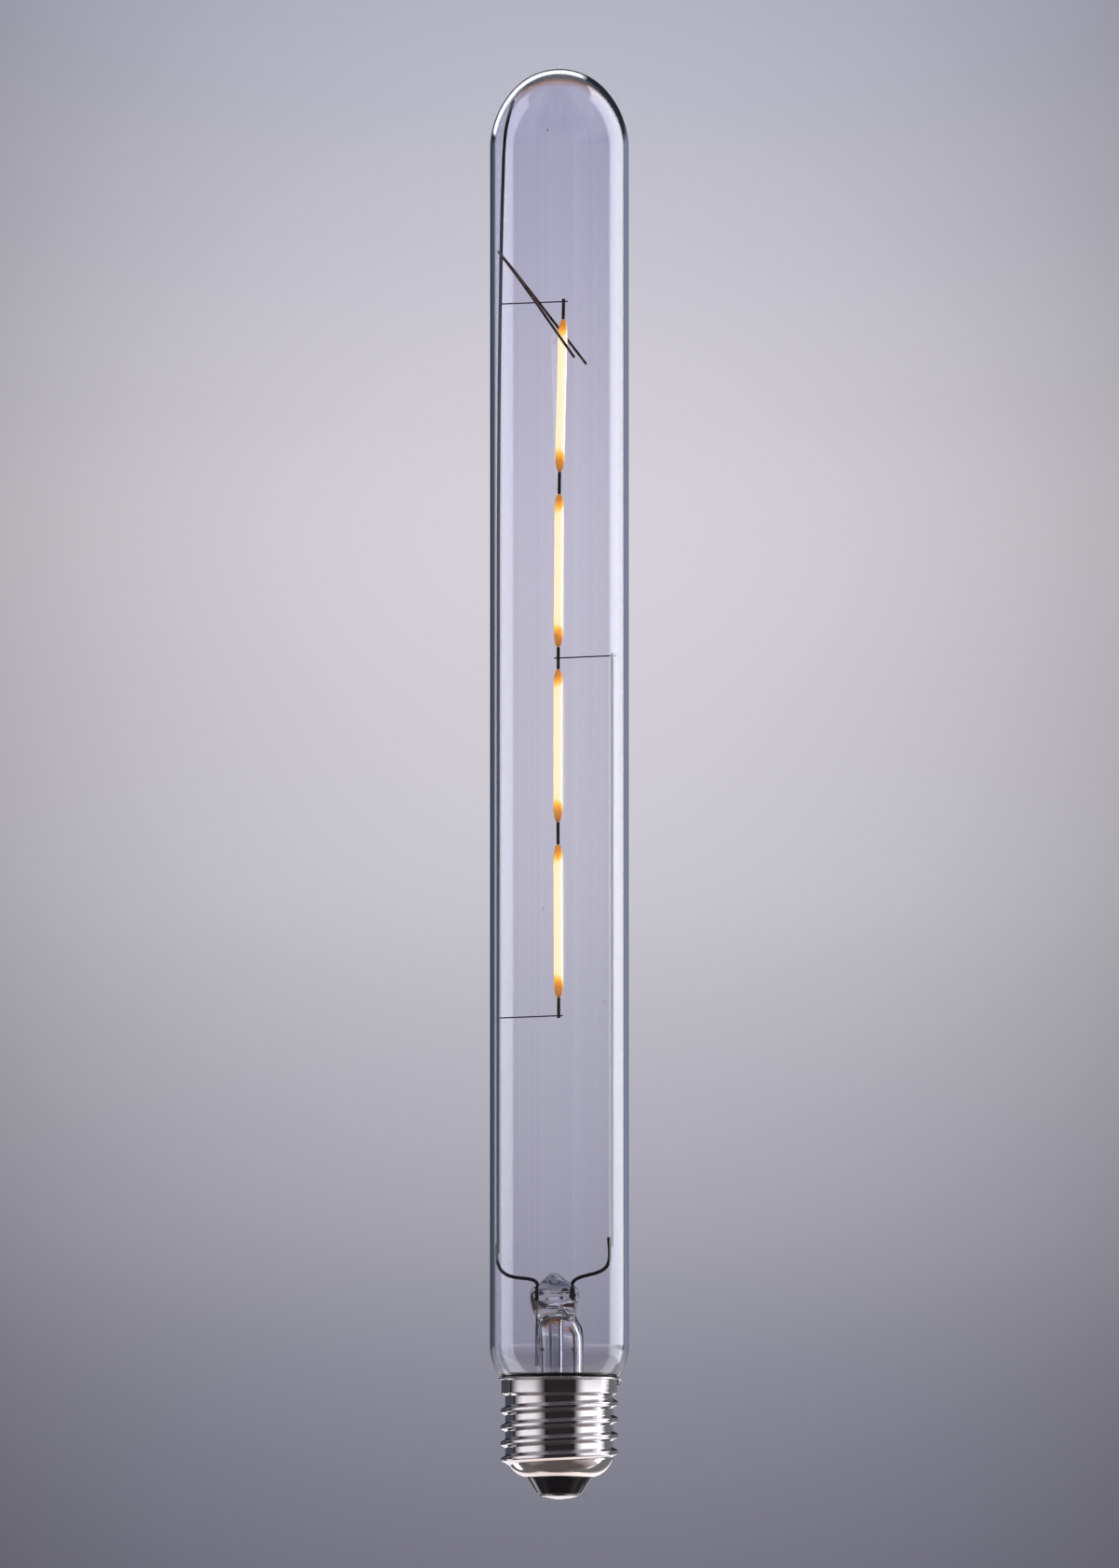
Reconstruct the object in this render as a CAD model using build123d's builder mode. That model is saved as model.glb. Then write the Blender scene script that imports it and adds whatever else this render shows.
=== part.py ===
from build123d import *
from math import asin, atan2, cos, degrees, pi, sqrt, tan
import os

# Tubular filament lamp: a long clear glass tube on a screw cap, with four filaments in a line.
# Millimetres. The origin is the tip of the centre contact and +Z runs up the axis to the dome.

# Screw shell, rolled from thin sheet
thread_crest_diameter = 26.2
thread_depth = 1.05
thread_pitch = 3.629
thread_flat = 1.1
thread_height = 15.1
thread_phase = 2.06
ridge_bury = 0.2
ridge_margin = 0.05
step_height = 0.4
shell_wall = 0.3
shell_cone_height = 3.5
shell_foot_diameter = 17.5
shell_foot_round = 0.9
shell_opening_diameter = 13.6
skirt_drop = 0.18
skirt_height = 3.1
rim_overhang = 0.58
rim_height = 0.45
rim_chamfer = 0.12

# Insulator and centre contact
insulator_height = 3.9
insulator_top_margin = 0.65
insulator_tip_diameter = 9.8
insulator_tip_round = 0.4
insulator_inner_depth = 2.7
insulator_hole_diameter = 3.0
contact_margin = 0.45
contact_thickness = 0.3
contact_hole_diameter = 0.9
contact_solder_height = 0.8
contact_solder_margin = 0.1

# Glass tube
tube_diameter = 31.0
glass_wall = 0.9
dome_height = 17.9
dome_cap_inset = 1.6
shoulder_height = 6.8
shoulder_overhang = 0.1
heel_inner_radius = 0.3
neck_turn = 0.9
neck_clearance = 0.75
neck_depth = 7.65
rim_seat_gap = 0.1

# Stem, press and exhaust tube
stem_diameter = 10.8
stem_wall = 0.9
stem_tube_height = 14.3
press_offset = -1.1
press_thickness = 4.8
press_rise = 4.5
press_height = 4.3
press_top_round = 0.7
press_hollow_height = 2.5
stud_offset = -1.4
stud_base_diameter = 4.2
stud_tip_diameter = 2.4
stud_height = 3.2
exhaust_offset = -0.75
exhaust_diameter = 3.2
exhaust_wall = 0.5
exhaust_tip_drop = 2.0
blow_hole_diameter = 2.0
blow_hole_rise = 1.3

# Leads through the press
lead_diameter = 0.7
lead_spacing = 7.5
lead_offset = -0.95
lead_bend_radius = 1.1
lead_exit_height = 1.5
lead_rise_left = 1.4
lead_rise_right = 2.8
lead_wall_gap = 0.08
seal_wire_diameter = 0.34
seal_wire_shift_left = 0.85
seal_wire_shift_right = 0.5
outer_lead_diameter = 0.4
outer_lead_shift = 0.6
knot_diameter = 0.95
knot_length = 0.8
knot_height = 3.3
lower_knot_drop = 7.2

# Support rods, arms and filament guide
rod_diameter = 0.75
rod_foot_gap = 4.5
rod_weld_length = 2.4
left_rod_lean = 1.45
left_rod_end_rise = 11.2
left_rod_end_gap = 0.5
left_rod_bend_radius = 500.0
left_rod_dome_radius = 55.0
right_rod_wall_gap = 2.4
arm_diameter = 0.3
arm_overhang = 0.6
arm_end_inset = 0.6
arm_slope = 0.6
guide_diameter = 0.6
guide_rise = 10.3
guide_drop_front = 23.7
guide_drop_back = 24.9
guide_reach_front = 3.4
guide_reach_back = 6.1
guide_spread = 2.2

# Filament string, with the sideways place of each joint from the top down
filament_length = 34.2
filament_diameter = 2.0
filament_end_diameter = 1.0
filament_taper = 3.0
filament_gap = 4.95
tab_length = 4.6
tab_width = 0.72
tab_thickness = 0.25
string_gap_below = 56.8
string_gap_above = 51.4
joint_sideways = (0.95, 0.0, -0.25, -0.3, -0.15)

# Driver in the cap
board_thickness = 1.0
board_clearance = 0.75
board_hole_clearance = 0.1
part_spacing = 6.0
capacitor_diameter = 5.0
capacitor_height = 6.0
capacitor_chamfer = 0.4
rectifier_length = 4.7
rectifier_width = 3.9
rectifier_height = 1.6
chip_length = 2.9
chip_width = 1.6
chip_height = 1.1
resistor_length = 2.0
resistor_width = 1.25
resistor_height = 0.5
fuse_diameter = 2.2
fuse_length = 4.5
fuse_lift = 0.8
fuse_chamfer = 0.4
fuse_leg_diameter = 0.5
fuse_loop_height = 0.8
fuse_foot_offset = 2.2
neutral_wire_diameter = 0.4
neutral_wire_inset = 1.4
neutral_wire_rise = 4.5
cement_height = 2.2
cement_top_gap = 0.5
side_solder_diameter = 1.5
side_solder_stand = 0.2

# Levels of the cap, from the contact tip upwards
contact_bottom = contact_solder_height
contact_top = contact_bottom + contact_thickness
shell_bottom = contact_top + insulator_height
shell_floor = shell_bottom + shell_wall
thread_bottom = shell_bottom + shell_cone_height
thread_top = thread_bottom + thread_height
skirt_top = thread_top + skirt_height
rim_top = skirt_top + rim_height
step_bottom = thread_top - step_height
board_bottom = shell_floor + insulator_inner_depth
board_top = board_bottom + board_thickness

# Radii of the cap
crest_radius = thread_crest_diameter / 2
root_radius = crest_radius - thread_depth
skirt_radius = crest_radius - skirt_drop
skirt_inner = skirt_radius - shell_wall
rim_radius = skirt_radius + rim_overhang
foot_radius = shell_foot_diameter / 2
cone_angle = atan2(shell_cone_height, root_radius - foot_radius)
inner_foot_radius = foot_radius - shell_wall * tan(cone_angle / 2)
floor_top_radius = inner_foot_radius + insulator_inner_depth / tan(cone_angle)
opening_radius = shell_opening_diameter / 2
insulator_tip_radius = insulator_tip_diameter / 2
contact_radius = insulator_tip_radius - contact_margin
solder_radius = contact_radius - contact_solder_margin
solder_sphere = (solder_radius**2 + contact_solder_height**2) / (2 * contact_solder_height)

# Thread: a ridge that starts clear of the cone and stops clear of the step up to the skirt
flank_run = thread_pitch / 2 - thread_flat
flank_angle = atan2(thread_depth, flank_run)
ridge_reach = thread_flat / 2 + flank_run + ridge_margin
ridge_bottom = thread_bottom + ridge_reach
ridge_rise = step_bottom - ridge_reach - ridge_bottom
ridge_turn = 360 * ridge_rise / thread_pitch
ridge_angle = 360 * (ridge_bottom - thread_bottom - thread_phase) / thread_pitch
step_angle = atan2(step_height, thread_depth - skirt_drop)

# Glass tube: the shoulder turns from the rim of the cap to the straight side
tube_radius = tube_diameter / 2
tube_inner = tube_radius - glass_wall
neck_radius = root_radius - shell_wall - neck_clearance
neck_inner = neck_radius - glass_wall
neck_bottom = rim_top - neck_depth
ledge = rim_top + rim_seat_gap
heel_radius = heel_inner_radius + glass_wall
shoulder_foot = rim_radius + shoulder_overhang
shoulder_run = tube_radius - shoulder_foot
shoulder_angle = degrees(2 * atan2(shoulder_run, shoulder_height))
shoulder_radius = (shoulder_run**2 + shoulder_height**2) / (2 * shoulder_run)
heel_x = shoulder_foot - heel_radius * cos(2 * atan2(shoulder_run, shoulder_height))

# Stem and the leads in it
stem_radius = stem_diameter / 2
stem_inner = stem_radius - stem_wall
flare_round = neck_inner - stem_radius
flare_top = neck_bottom + flare_round
flare_bottom = neck_bottom - stem_wall
press_foot = flare_top + stem_tube_height
press_full = press_foot + press_rise
press_top = press_full + press_height
press_floor = press_foot + press_hollow_height
press_floor_share = press_hollow_height / press_rise
stud_top = press_top + stud_height
exhaust_tip = flare_bottom - exhaust_tip_drop
knot_bottom = press_floor + knot_height
knot_top = knot_bottom + knot_length
lower_knot_top = press_floor - lower_knot_drop
lower_knot_bottom = lower_knot_top - knot_length
lead_exit = press_top + lead_exit_height
left_lead_x = lead_offset - lead_spacing / 2
right_lead_x = lead_offset + lead_spacing / 2
left_knot_x = left_lead_x + seal_wire_shift_left
right_knot_x = right_lead_x + seal_wire_shift_right

# Filament string and dome, worked upwards from the stem
filament_count = len(joint_sideways) - 1
filament_pitch = filament_length + filament_gap
string_bottom = stud_top + string_gap_below
lowest_filament = string_bottom + tab_length
string_top = lowest_filament + filament_count * filament_pitch - filament_gap + tab_length
tube_top = string_top + string_gap_above
dome_base = tube_top - dome_height
dome_top_radius = tube_radius - dome_cap_inset
dome_cap_rise = dome_height - dome_top_radius
dome_side_radius = (tube_radius**2 + dome_cap_rise**2 - dome_top_radius**2) / (2 * dome_cap_inset)
dome_side_angle = degrees(atan2(dome_cap_rise, dome_side_radius - tube_radius))

# Rods, placed from the inside of the glass
rod_radius = rod_diameter / 2
weld_offset = rod_radius + lead_diameter / 2
left_rod_x = lead_wall_gap + lead_diameter + rod_radius - tube_inner
right_rod_x = tube_inner - right_rod_wall_gap - rod_radius
left_lead_corner = lead_exit + lead_rise_left
right_lead_corner = lead_exit + lead_rise_right
left_rod_foot = left_lead_corner + rod_foot_gap
right_rod_foot = right_lead_corner + rod_foot_gap
left_rod_end = dome_base + left_rod_end_rise
dome_inner_at_end = sqrt((dome_top_radius - glass_wall) ** 2 - (left_rod_end_rise - dome_cap_rise) ** 2)
left_rod_end_x = rod_radius + left_rod_end_gap - dome_inner_at_end
arm_y = rod_radius + arm_diameter / 2
string_y = rod_radius - tab_thickness

os.makedirs("parts", exist_ok=True)


def hand_over(built, name):
    """Label a finished piece and write its file."""
    built.part.label = name
    export_step(built.part, f"parts/{name}.step")


def joint_level(index):
    """Height of a joint of the string, counted from the top: an end, or the middle of a gap."""
    if index == 0:
        return string_top
    if index == filament_count:
        return string_bottom
    return lowest_filament + (filament_count - index) * filament_pitch - filament_gap / 2


def left_rod_at(level):
    """Sideways place of the left rod at a height: upright at first, then leaning in to the dome."""
    bend = joint_level(1)
    share = max(0.0, (level - bend) / (dome_base - bend))
    return left_rod_x + left_rod_lean * share


def slanted_wire(diameter, start, stop):
    """Straight wire from one point down to another, with both ends cut level."""
    with BuildPart() as wire:
        with BuildSketch(Plane.XY.offset(start.Z)):
            with Locations((start.X, start.Y)):
                Circle(diameter / 2)
        extrude(amount=(stop - start).length, dir=stop - start)
    return wire.part


def formed_body(inset):
    """Solid inside one face of the rolled sheet: its outside, or its inside when inset is the wall.

    A turned core at the root of the thread carries a helical ridge with straight flanks. A flat cut
    across each end of the ridge lets it run out into the core.
    """
    crest = crest_radius - inset
    root = root_radius - inset
    skirt = skirt_radius - inset
    foot = foot_radius - inset * tan(cone_angle / 2)
    floor = shell_bottom + inset
    roof = rim_top + inset
    step_shift = inset * tan((pi / 2 - step_angle) / 2)
    half_crest = thread_flat / 2 - inset * tan(flank_angle / 2)
    half_foot = half_crest + flank_run + ridge_bury / tan(flank_angle)
    with BuildPart() as ridge:
        with BuildLine() as path:
            Helix(thread_pitch, ridge_rise, crest, center=(0, 0, ridge_bottom))
        with BuildSketch(Plane((0, 0, ridge_bottom), x_dir=(1, 0, 0), z_dir=(0, -1, 0))):
            with BuildLine():
                Polyline(
                    (root - ridge_bury, -half_foot),
                    (crest, -half_crest),
                    (crest, half_crest),
                    (root - ridge_bury, half_foot),
                    close=True,
                )
            make_face()
        sweep(path=path.line, is_frenet=True)
        for angle, level in ((0, ridge_bottom), (ridge_turn, ridge_bottom + ridge_rise)):
            outward = Vector(1, 0, 0).rotate(Axis.Z, angle)
            flat_centre = outward * (root - ridge_bury / 2) + Vector(0, 0, level)
            with BuildSketch(Plane(flat_centre, x_dir=(0, 0, 1), z_dir=outward)):
                Rectangle(thread_pitch, 2 * crest)
            extrude(amount=2 * thread_depth, mode=Mode.SUBTRACT)
    with BuildPart() as body:
        with BuildSketch(Plane.XZ):
            with BuildLine():
                FilletPolyline(
                    (0, floor),
                    (foot, floor),
                    (root, floor + (root - foot) * tan(cone_angle)),
                    (root, step_bottom + step_shift),
                    (skirt, thread_top + step_shift),
                    (skirt, roof),
                    (0, roof),
                    radius=[0, shell_foot_round - inset, 0, 0, 0, 0, 0],
                    close=True,
                )
            make_face()
        revolve(axis=Axis.Z)
        add(ridge.part.rotate(Axis.Z, ridge_angle))
    return body.part


# The screw shell is one rolled sheet with the thread pressed through it and a folded rim
with BuildPart() as screw_shell:
    add(formed_body(0))
    add(formed_body(shell_wall), mode=Mode.SUBTRACT)
    with Locations((0, 0, shell_bottom)):
        Cylinder(opening_radius, 4 * shell_wall, mode=Mode.SUBTRACT)
    with BuildSketch(Plane.XZ):
        with BuildLine():
            Polyline(
                (skirt_inner, skirt_top),
                (rim_radius - rim_chamfer, skirt_top),
                (rim_radius, skirt_top + rim_chamfer),
                (rim_radius, rim_top - rim_chamfer),
                (rim_radius - rim_chamfer, rim_top),
                (skirt_inner, rim_top),
                close=True,
            )
        make_face()
    revolve(axis=Axis.Z)
hand_over(screw_shell, "screw_shell")

# The insulator is black glass poured round the edge of the shell's opening
with BuildPart() as insulator:
    with BuildSketch(Plane.XZ):
        with BuildLine():
            FilletPolyline(
                (insulator_hole_diameter / 2, contact_top),
                (insulator_tip_radius, contact_top),
                (opening_radius + insulator_top_margin, shell_bottom),
                (opening_radius, shell_bottom),
                (opening_radius, shell_floor),
                (inner_foot_radius, shell_floor),
                (floor_top_radius, board_bottom),
                (insulator_hole_diameter / 2, board_bottom),
                radius=[0, insulator_tip_round, 0, 0, 0, shell_foot_round - shell_wall, 0, 0],
                close=True,
            )
        make_face()
    revolve(axis=Axis.Z)
hand_over(insulator, "insulator")

with BuildPart() as contact_plate:
    with BuildSketch(Plane.XY.offset(contact_bottom)):
        Circle(contact_radius)
        Circle(contact_hole_diameter / 2, mode=Mode.SUBTRACT)
    extrude(amount=contact_thickness)
hand_over(contact_plate, "contact_plate")

# A low cap of solder covers the plate and makes the tip of the lamp
with BuildPart() as contact_solder:
    with BuildSketch(Plane.XZ):
        with BuildLine():
            cap_angle = degrees(asin(solder_radius / solder_sphere))
            cap_arc = JernArc((0, 0), (1, 0), solder_sphere, cap_angle)
            Polyline(cap_arc @ 1, (0, contact_bottom), (0, 0))
        make_face()
    revolve(axis=Axis.Z)
hand_over(contact_solder, "contact_solder")

# The glass tube is one wall from neck to dome, its inside drawn parallel to its outside
with BuildPart() as glass_tube:
    for inset, combine in ((0, Mode.ADD), (glass_wall, Mode.SUBTRACT)):
        with BuildSketch(Plane.XZ):
            with BuildLine():
                neck_x = neck_radius - inset
                turn_rise = inset * tan(pi / 8)
                neck = Line((neck_x, neck_bottom - inset), (neck_x, ledge - neck_turn + turn_rise))
                turn_end = (neck_radius + neck_turn - turn_rise, ledge + inset)
                Line(neck @ 1, turn_end)
                seat = Line(turn_end, (heel_x, ledge + inset))
                heel = JernArc(seat @ 1, seat % 1, heel_radius - inset, 90 - shoulder_angle)
                shoulder = JernArc(heel @ 1, heel % 1, shoulder_radius - inset, shoulder_angle)
                side = Line(shoulder @ 1, (tube_radius - inset, dome_base))
                dome_side = JernArc(side @ 1, side % 1, dome_side_radius - inset, dome_side_angle)
                cap_turn = 90 - dome_side_angle
                dome_cap = JernArc(dome_side @ 1, dome_side % 1, dome_top_radius - inset, cap_turn)
                Polyline(dome_cap @ 1, (0, neck_bottom - inset), neck @ 0)
            make_face()
        revolve(axis=Axis.Z, mode=combine)
hand_over(glass_tube, "glass_tube")

# The stem is a flared tube fused to the neck, pinched flat at its top round the leads
with BuildPart() as stem:
    with BuildSketch(Plane.XZ):
        with BuildLine():
            Polyline(
                (neck_inner, flare_bottom),
                (neck_radius, flare_bottom),
                (neck_radius, neck_bottom),
                (neck_inner, neck_bottom),
            )
            Bezier((neck_inner, neck_bottom), (stem_radius, neck_bottom), (stem_radius, flare_top))
            Polyline(
                (stem_radius, flare_top),
                (stem_radius, press_foot),
                (stem_inner, press_foot),
                (stem_inner, flare_top),
            )
            Bezier((neck_inner, flare_bottom), (stem_inner, flare_bottom), (stem_inner, flare_top))
        make_face()
    revolve(axis=Axis.Z)
    with BuildSketch(Plane.XY.offset(press_foot)):
        Circle(stem_radius)
    for level in (press_full, press_top):
        with BuildSketch(Plane.XY.offset(level)):
            with Locations((press_offset, 0)):
                Ellipse(stem_radius, press_thickness / 2)
    loft()
    fillet(stem.faces().sort_by(Axis.Z)[-1].edges(), press_top_round)
    with BuildSketch(Plane((stud_offset, 0, 0), x_dir=(1, 0, 0), z_dir=(0, -1, 0))):
        with BuildLine():
            stud_tip = stud_tip_diameter / 2
            Polyline(
                (0, stud_top),
                (0, press_full),
                (stud_base_diameter / 2, press_top - press_top_round),
                (stud_tip, stud_top - stud_tip),
            )
            Bezier((stud_tip, stud_top - stud_tip), (stud_tip, stud_top), (0, stud_top))
        make_face()
    revolve(axis=Axis((stud_offset, 0, 0), (0, 0, 1)))
    with BuildSketch(Plane.XY.offset(press_foot)):
        Circle(stem_inner)
    with BuildSketch(Plane.XY.offset(press_floor)):
        with Locations((press_offset * press_floor_share, 0)):
            Ellipse(stem_inner, stem_inner - (stem_radius - press_thickness / 2) * press_floor_share)
    loft(mode=Mode.SUBTRACT)
    for lead_x, knot_x in ((left_lead_x, left_knot_x), (right_lead_x, right_knot_x)):
        seal_top = Vector(lead_x, 0, knot_bottom)
        seal_foot = Vector(knot_x, 0, lower_knot_top)
        add(slanted_wire(seal_wire_diameter, seal_top, seal_foot), mode=Mode.SUBTRACT)
        for diameter, low, high in (
            (knot_diameter, knot_bottom, knot_top),
            (lead_diameter, knot_top, lead_exit),
        ):
            with BuildSketch(Plane.XY.offset(low)):
                with Locations((lead_x, 0)):
                    Circle(diameter / 2)
            extrude(amount=high - low, mode=Mode.SUBTRACT)
    with BuildSketch(Plane.XY.offset(press_floor)):
        with Locations((exhaust_offset, 0)):
            Circle(exhaust_diameter / 2 - exhaust_wall)
    extrude(amount=blow_hole_rise, mode=Mode.SUBTRACT)
    with BuildSketch(Plane.XZ):
        with Locations((exhaust_offset, press_floor + blow_hole_rise)):
            Circle(blow_hole_diameter / 2)
    extrude(amount=stem_radius, mode=Mode.SUBTRACT)
hand_over(stem, "stem")

# The exhaust tube hangs from the floor of the press and is melted shut at its lower end
with BuildPart() as exhaust_tube:
    with BuildSketch(Plane((exhaust_offset, 0, 0), x_dir=(1, 0, 0), z_dir=(0, -1, 0))):
        with BuildLine():
            exhaust_outer = exhaust_diameter / 2
            exhaust_inner = exhaust_outer - exhaust_wall
            tip_top = exhaust_tip + exhaust_outer
            Bezier((0, exhaust_tip), (exhaust_outer, exhaust_tip), (exhaust_outer, tip_top))
            Polyline(
                (exhaust_outer, tip_top),
                (exhaust_outer, press_floor),
                (exhaust_inner, press_floor),
                (exhaust_inner, tip_top),
                (0, tip_top),
                (0, exhaust_tip),
            )
        make_face()
    revolve(axis=Axis((exhaust_offset, 0, 0), (0, 0, 1)))
hand_over(exhaust_tube, "exhaust_tube")

# Each lead is three wires welded end to end: the inner lead, the seal wire and the outer lead
for side, lead_x, knot_x, corner, top_x, top in (
    ("left", left_lead_x, left_knot_x, left_lead_corner, left_rod_x - weld_offset, left_rod_foot),
    ("right", right_lead_x, right_knot_x, right_lead_corner, right_rod_x - weld_offset, right_rod_foot),
):
    with BuildPart() as inner_lead:
        with BuildLine() as path:
            FilletPolyline(
                (lead_x, 0, knot_top),
                (lead_x, 0, lead_exit),
                (top_x, 0, corner),
                (top_x, 0, top + rod_weld_length),
                radius=lead_bend_radius,
            )
        with BuildSketch(Plane((lead_x, 0, knot_top))):
            Circle(lead_diameter / 2)
        sweep(path=path.line)
        with BuildSketch(Plane((lead_x, 0, knot_bottom))):
            Circle(knot_diameter / 2)
        extrude(amount=knot_length)
    hand_over(inner_lead, f"{side}_inner_lead")

    with BuildPart() as seal_wire:
        seal_top = Vector(lead_x, 0, knot_bottom)
        seal_foot = Vector(knot_x, 0, lower_knot_top)
        add(slanted_wire(seal_wire_diameter, seal_top, seal_foot))
    hand_over(seal_wire, f"{side}_seal_wire")

    with BuildPart() as outer_lead:
        outer_top = Vector(knot_x, 0, lower_knot_bottom)
        outer_foot = Vector(knot_x + outer_lead_shift, 0, board_bottom)
        add(slanted_wire(outer_lead_diameter, outer_top, outer_foot))
        with BuildSketch(Plane(outer_top)):
            Circle(knot_diameter / 2)
        extrude(amount=knot_length)
    hand_over(outer_lead, f"{side}_outer_lead")

# The left rod runs up the glass and curves in under the dome
with BuildPart() as left_support_rod:
    with BuildLine() as path:
        FilletPolyline(
            (left_rod_x, 0, left_rod_foot),
            (left_rod_x, 0, joint_level(1)),
            (left_rod_x + left_rod_lean, 0, dome_base),
            (left_rod_end_x, 0, left_rod_end),
            radius=[left_rod_bend_radius, left_rod_dome_radius],
        )
    with BuildSketch(Plane((left_rod_x, 0, left_rod_foot))):
        Circle(rod_radius)
    sweep(path=path.line)
hand_over(left_support_rod, "left_support_rod")

middle_joint = filament_count // 2
with BuildPart() as right_support_rod:
    with BuildSketch(Plane((right_rod_x, 0, right_rod_foot))):
        Circle(rod_radius)
    extrude(amount=joint_level(middle_joint) + arm_slope + arm_overhang - right_rod_foot)
hand_over(right_support_rod, "right_support_rod")

# Thin arms, welded behind a rod and behind a tab, feed the two ends and the middle of the string
middle_level = joint_level(middle_joint)
top_level = string_top - arm_end_inset
bottom_level = string_bottom + arm_end_inset
for name, index, level, rod_x, rod_level in (
    ("top_arm", 0, top_level, left_rod_at(top_level - arm_slope), top_level - arm_slope),
    ("middle_arm", middle_joint, middle_level, right_rod_x, middle_level + arm_slope),
    ("bottom_arm", filament_count, bottom_level, left_rod_x, bottom_level - arm_slope),
):
    toward = 1 if rod_x < joint_sideways[index] else -1
    rod_end = Vector(rod_x - toward * (rod_radius + arm_overhang), arm_y, rod_level)
    tab_end = Vector(joint_sideways[index] + toward * (tab_width / 2 + arm_overhang), arm_y, level)
    with BuildPart() as arm:
        with BuildSketch(Plane(rod_end, z_dir=tab_end - rod_end)):
            Circle(arm_diameter / 2)
        extrude(amount=(tab_end - rod_end).length)
    hand_over(arm, name)

# The guide is a hairpin hooked round the left rod, one leg each side of the first filament
with BuildPart() as filament_guide:
    hook_level = string_top + guide_rise
    hook_round = rod_radius + guide_diameter / 2
    hook_x = left_rod_at(hook_level) - hook_round
    front_tip = Vector(guide_reach_front, string_y - guide_spread, hook_level - guide_drop_front)
    back_tip = Vector(guide_reach_back, string_y + guide_spread, hook_level - guide_drop_back)
    with BuildLine() as path:
        FilletPolyline(
            front_tip,
            (hook_x, -hook_round, hook_level),
            (hook_x, hook_round, hook_level),
            back_tip,
            radius=guide_diameter,
        )
    with BuildSketch(Plane(front_tip, z_dir=path.line % 0)):
        Circle(guide_diameter / 2)
    sweep(path=path.line)
hand_over(filament_guide, "filament_guide")

# Each filament is a coated strip with tapered ends and a flat metal tab at both
for number in range(filament_count):
    above = Vector(joint_sideways[number], string_y, joint_level(number))
    below = Vector(joint_sideways[number + 1], string_y, joint_level(number + 1))
    along = (above - below).normalized()
    body_middle = lowest_filament + (filament_count - 1 - number) * filament_pitch + filament_length / 2
    centre = below + along * ((body_middle - below.Z) / along.Z)
    face_plane = Plane(centre, x_dir=(along.Z, 0, -along.X), z_dir=(0, -1, 0))
    half = filament_length / 2
    wide = filament_diameter / 2
    narrow = filament_end_diameter / 2
    with BuildPart() as filament:
        with BuildSketch(face_plane):
            with BuildLine():
                side = Line((wide, filament_taper - half), (wide, half - filament_taper))
                Bezier(side @ 0, (wide, filament_taper / 2 - half), (narrow, -half))
                Polyline((narrow, -half), (0, -half), (0, half), (narrow, half))
                Bezier((narrow, half), (wide, half - filament_taper / 2), side @ 1)
            make_face()
        revolve(axis=Axis(centre, along))
    hand_over(filament, f"filament_{number + 1}")

    for end, way in (("top", 1), ("bottom", -1)):
        behind = end == "bottom" or number == 0
        with BuildPart() as tab:
            with BuildSketch(face_plane):
                with Locations((0, way * (half + tab_length / 2))):
                    Rectangle(tab_width, tab_length)
            extrude(amount=-tab_thickness if behind else tab_thickness)
        hand_over(tab, f"filament_{number + 1}_{end}_tab")

# The driver board lies on the insulator inside the cap
neutral_x = floor_top_radius - board_clearance - neutral_wire_inset
outer_lead_feet = (left_knot_x + outer_lead_shift, right_knot_x + outer_lead_shift)
with BuildPart() as driver_board:
    with BuildSketch(Plane.XY.offset(board_bottom)):
        Circle(floor_top_radius - board_clearance)
        for hole_x, wire_diameter in (
            (0, fuse_leg_diameter),
            (neutral_x, neutral_wire_diameter),
            (outer_lead_feet[0], outer_lead_diameter),
            (outer_lead_feet[1], outer_lead_diameter),
        ):
            with Locations((hole_x, 0)):
                Circle(wire_diameter / 2 + board_hole_clearance, mode=Mode.SUBTRACT)
    extrude(amount=board_thickness)
hand_over(driver_board, "driver_board")

with BuildPart() as capacitor:
    with BuildSketch(Plane.XY.offset(board_top)):
        with Locations((0, part_spacing)):
            Circle(capacitor_diameter / 2)
    extrude(amount=capacitor_height)
    chamfer(capacitor.faces().sort_by(Axis.Z)[-1].edges(), capacitor_chamfer)
hand_over(capacitor, "capacitor")

for name, place, length, width, height in (
    ("rectifier", (0, -part_spacing), rectifier_length, rectifier_width, rectifier_height),
    ("driver_chip", (-part_spacing, part_spacing / 2), chip_length, chip_width, chip_height),
    ("current_resistor", (part_spacing, part_spacing / 2), resistor_length, resistor_width, resistor_height),
    ("bleed_resistor", (part_spacing, -part_spacing / 2), resistor_length, resistor_width, resistor_height),
):
    with BuildPart() as component:
        with BuildSketch(Plane.XY.offset(board_top)):
            with Locations(place):
                Rectangle(length, width)
        extrude(amount=height)
    hand_over(component, name)

# The fuse resistor stands on the board, one leg down to the contact and one looped back
with BuildPart() as fuse_resistor:
    fuse_bottom = board_top + fuse_lift
    fuse_top = fuse_bottom + fuse_length
    loop_top = fuse_top + fuse_loop_height
    with BuildSketch(Plane.XY.offset(fuse_bottom)):
        Circle(fuse_diameter / 2)
    extrude(amount=fuse_length)
    chamfer(fuse_resistor.edges().filter_by(GeomType.CIRCLE), fuse_chamfer)
    with BuildSketch(Plane.XY.offset(contact_bottom)):
        Circle(fuse_leg_diameter / 2)
    extrude(amount=fuse_bottom - contact_bottom)
    with BuildLine() as path:
        Polyline(
            (0, 0, fuse_top),
            (0, 0, loop_top),
            (0, fuse_foot_offset, loop_top),
            (0, fuse_foot_offset, board_top),
        )
    with BuildSketch(Plane.XY.offset(fuse_top)):
        Circle(fuse_leg_diameter / 2)
    sweep(path=path.line, transition=Transition.RIGHT)
hand_over(fuse_resistor, "fuse_resistor")

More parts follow.
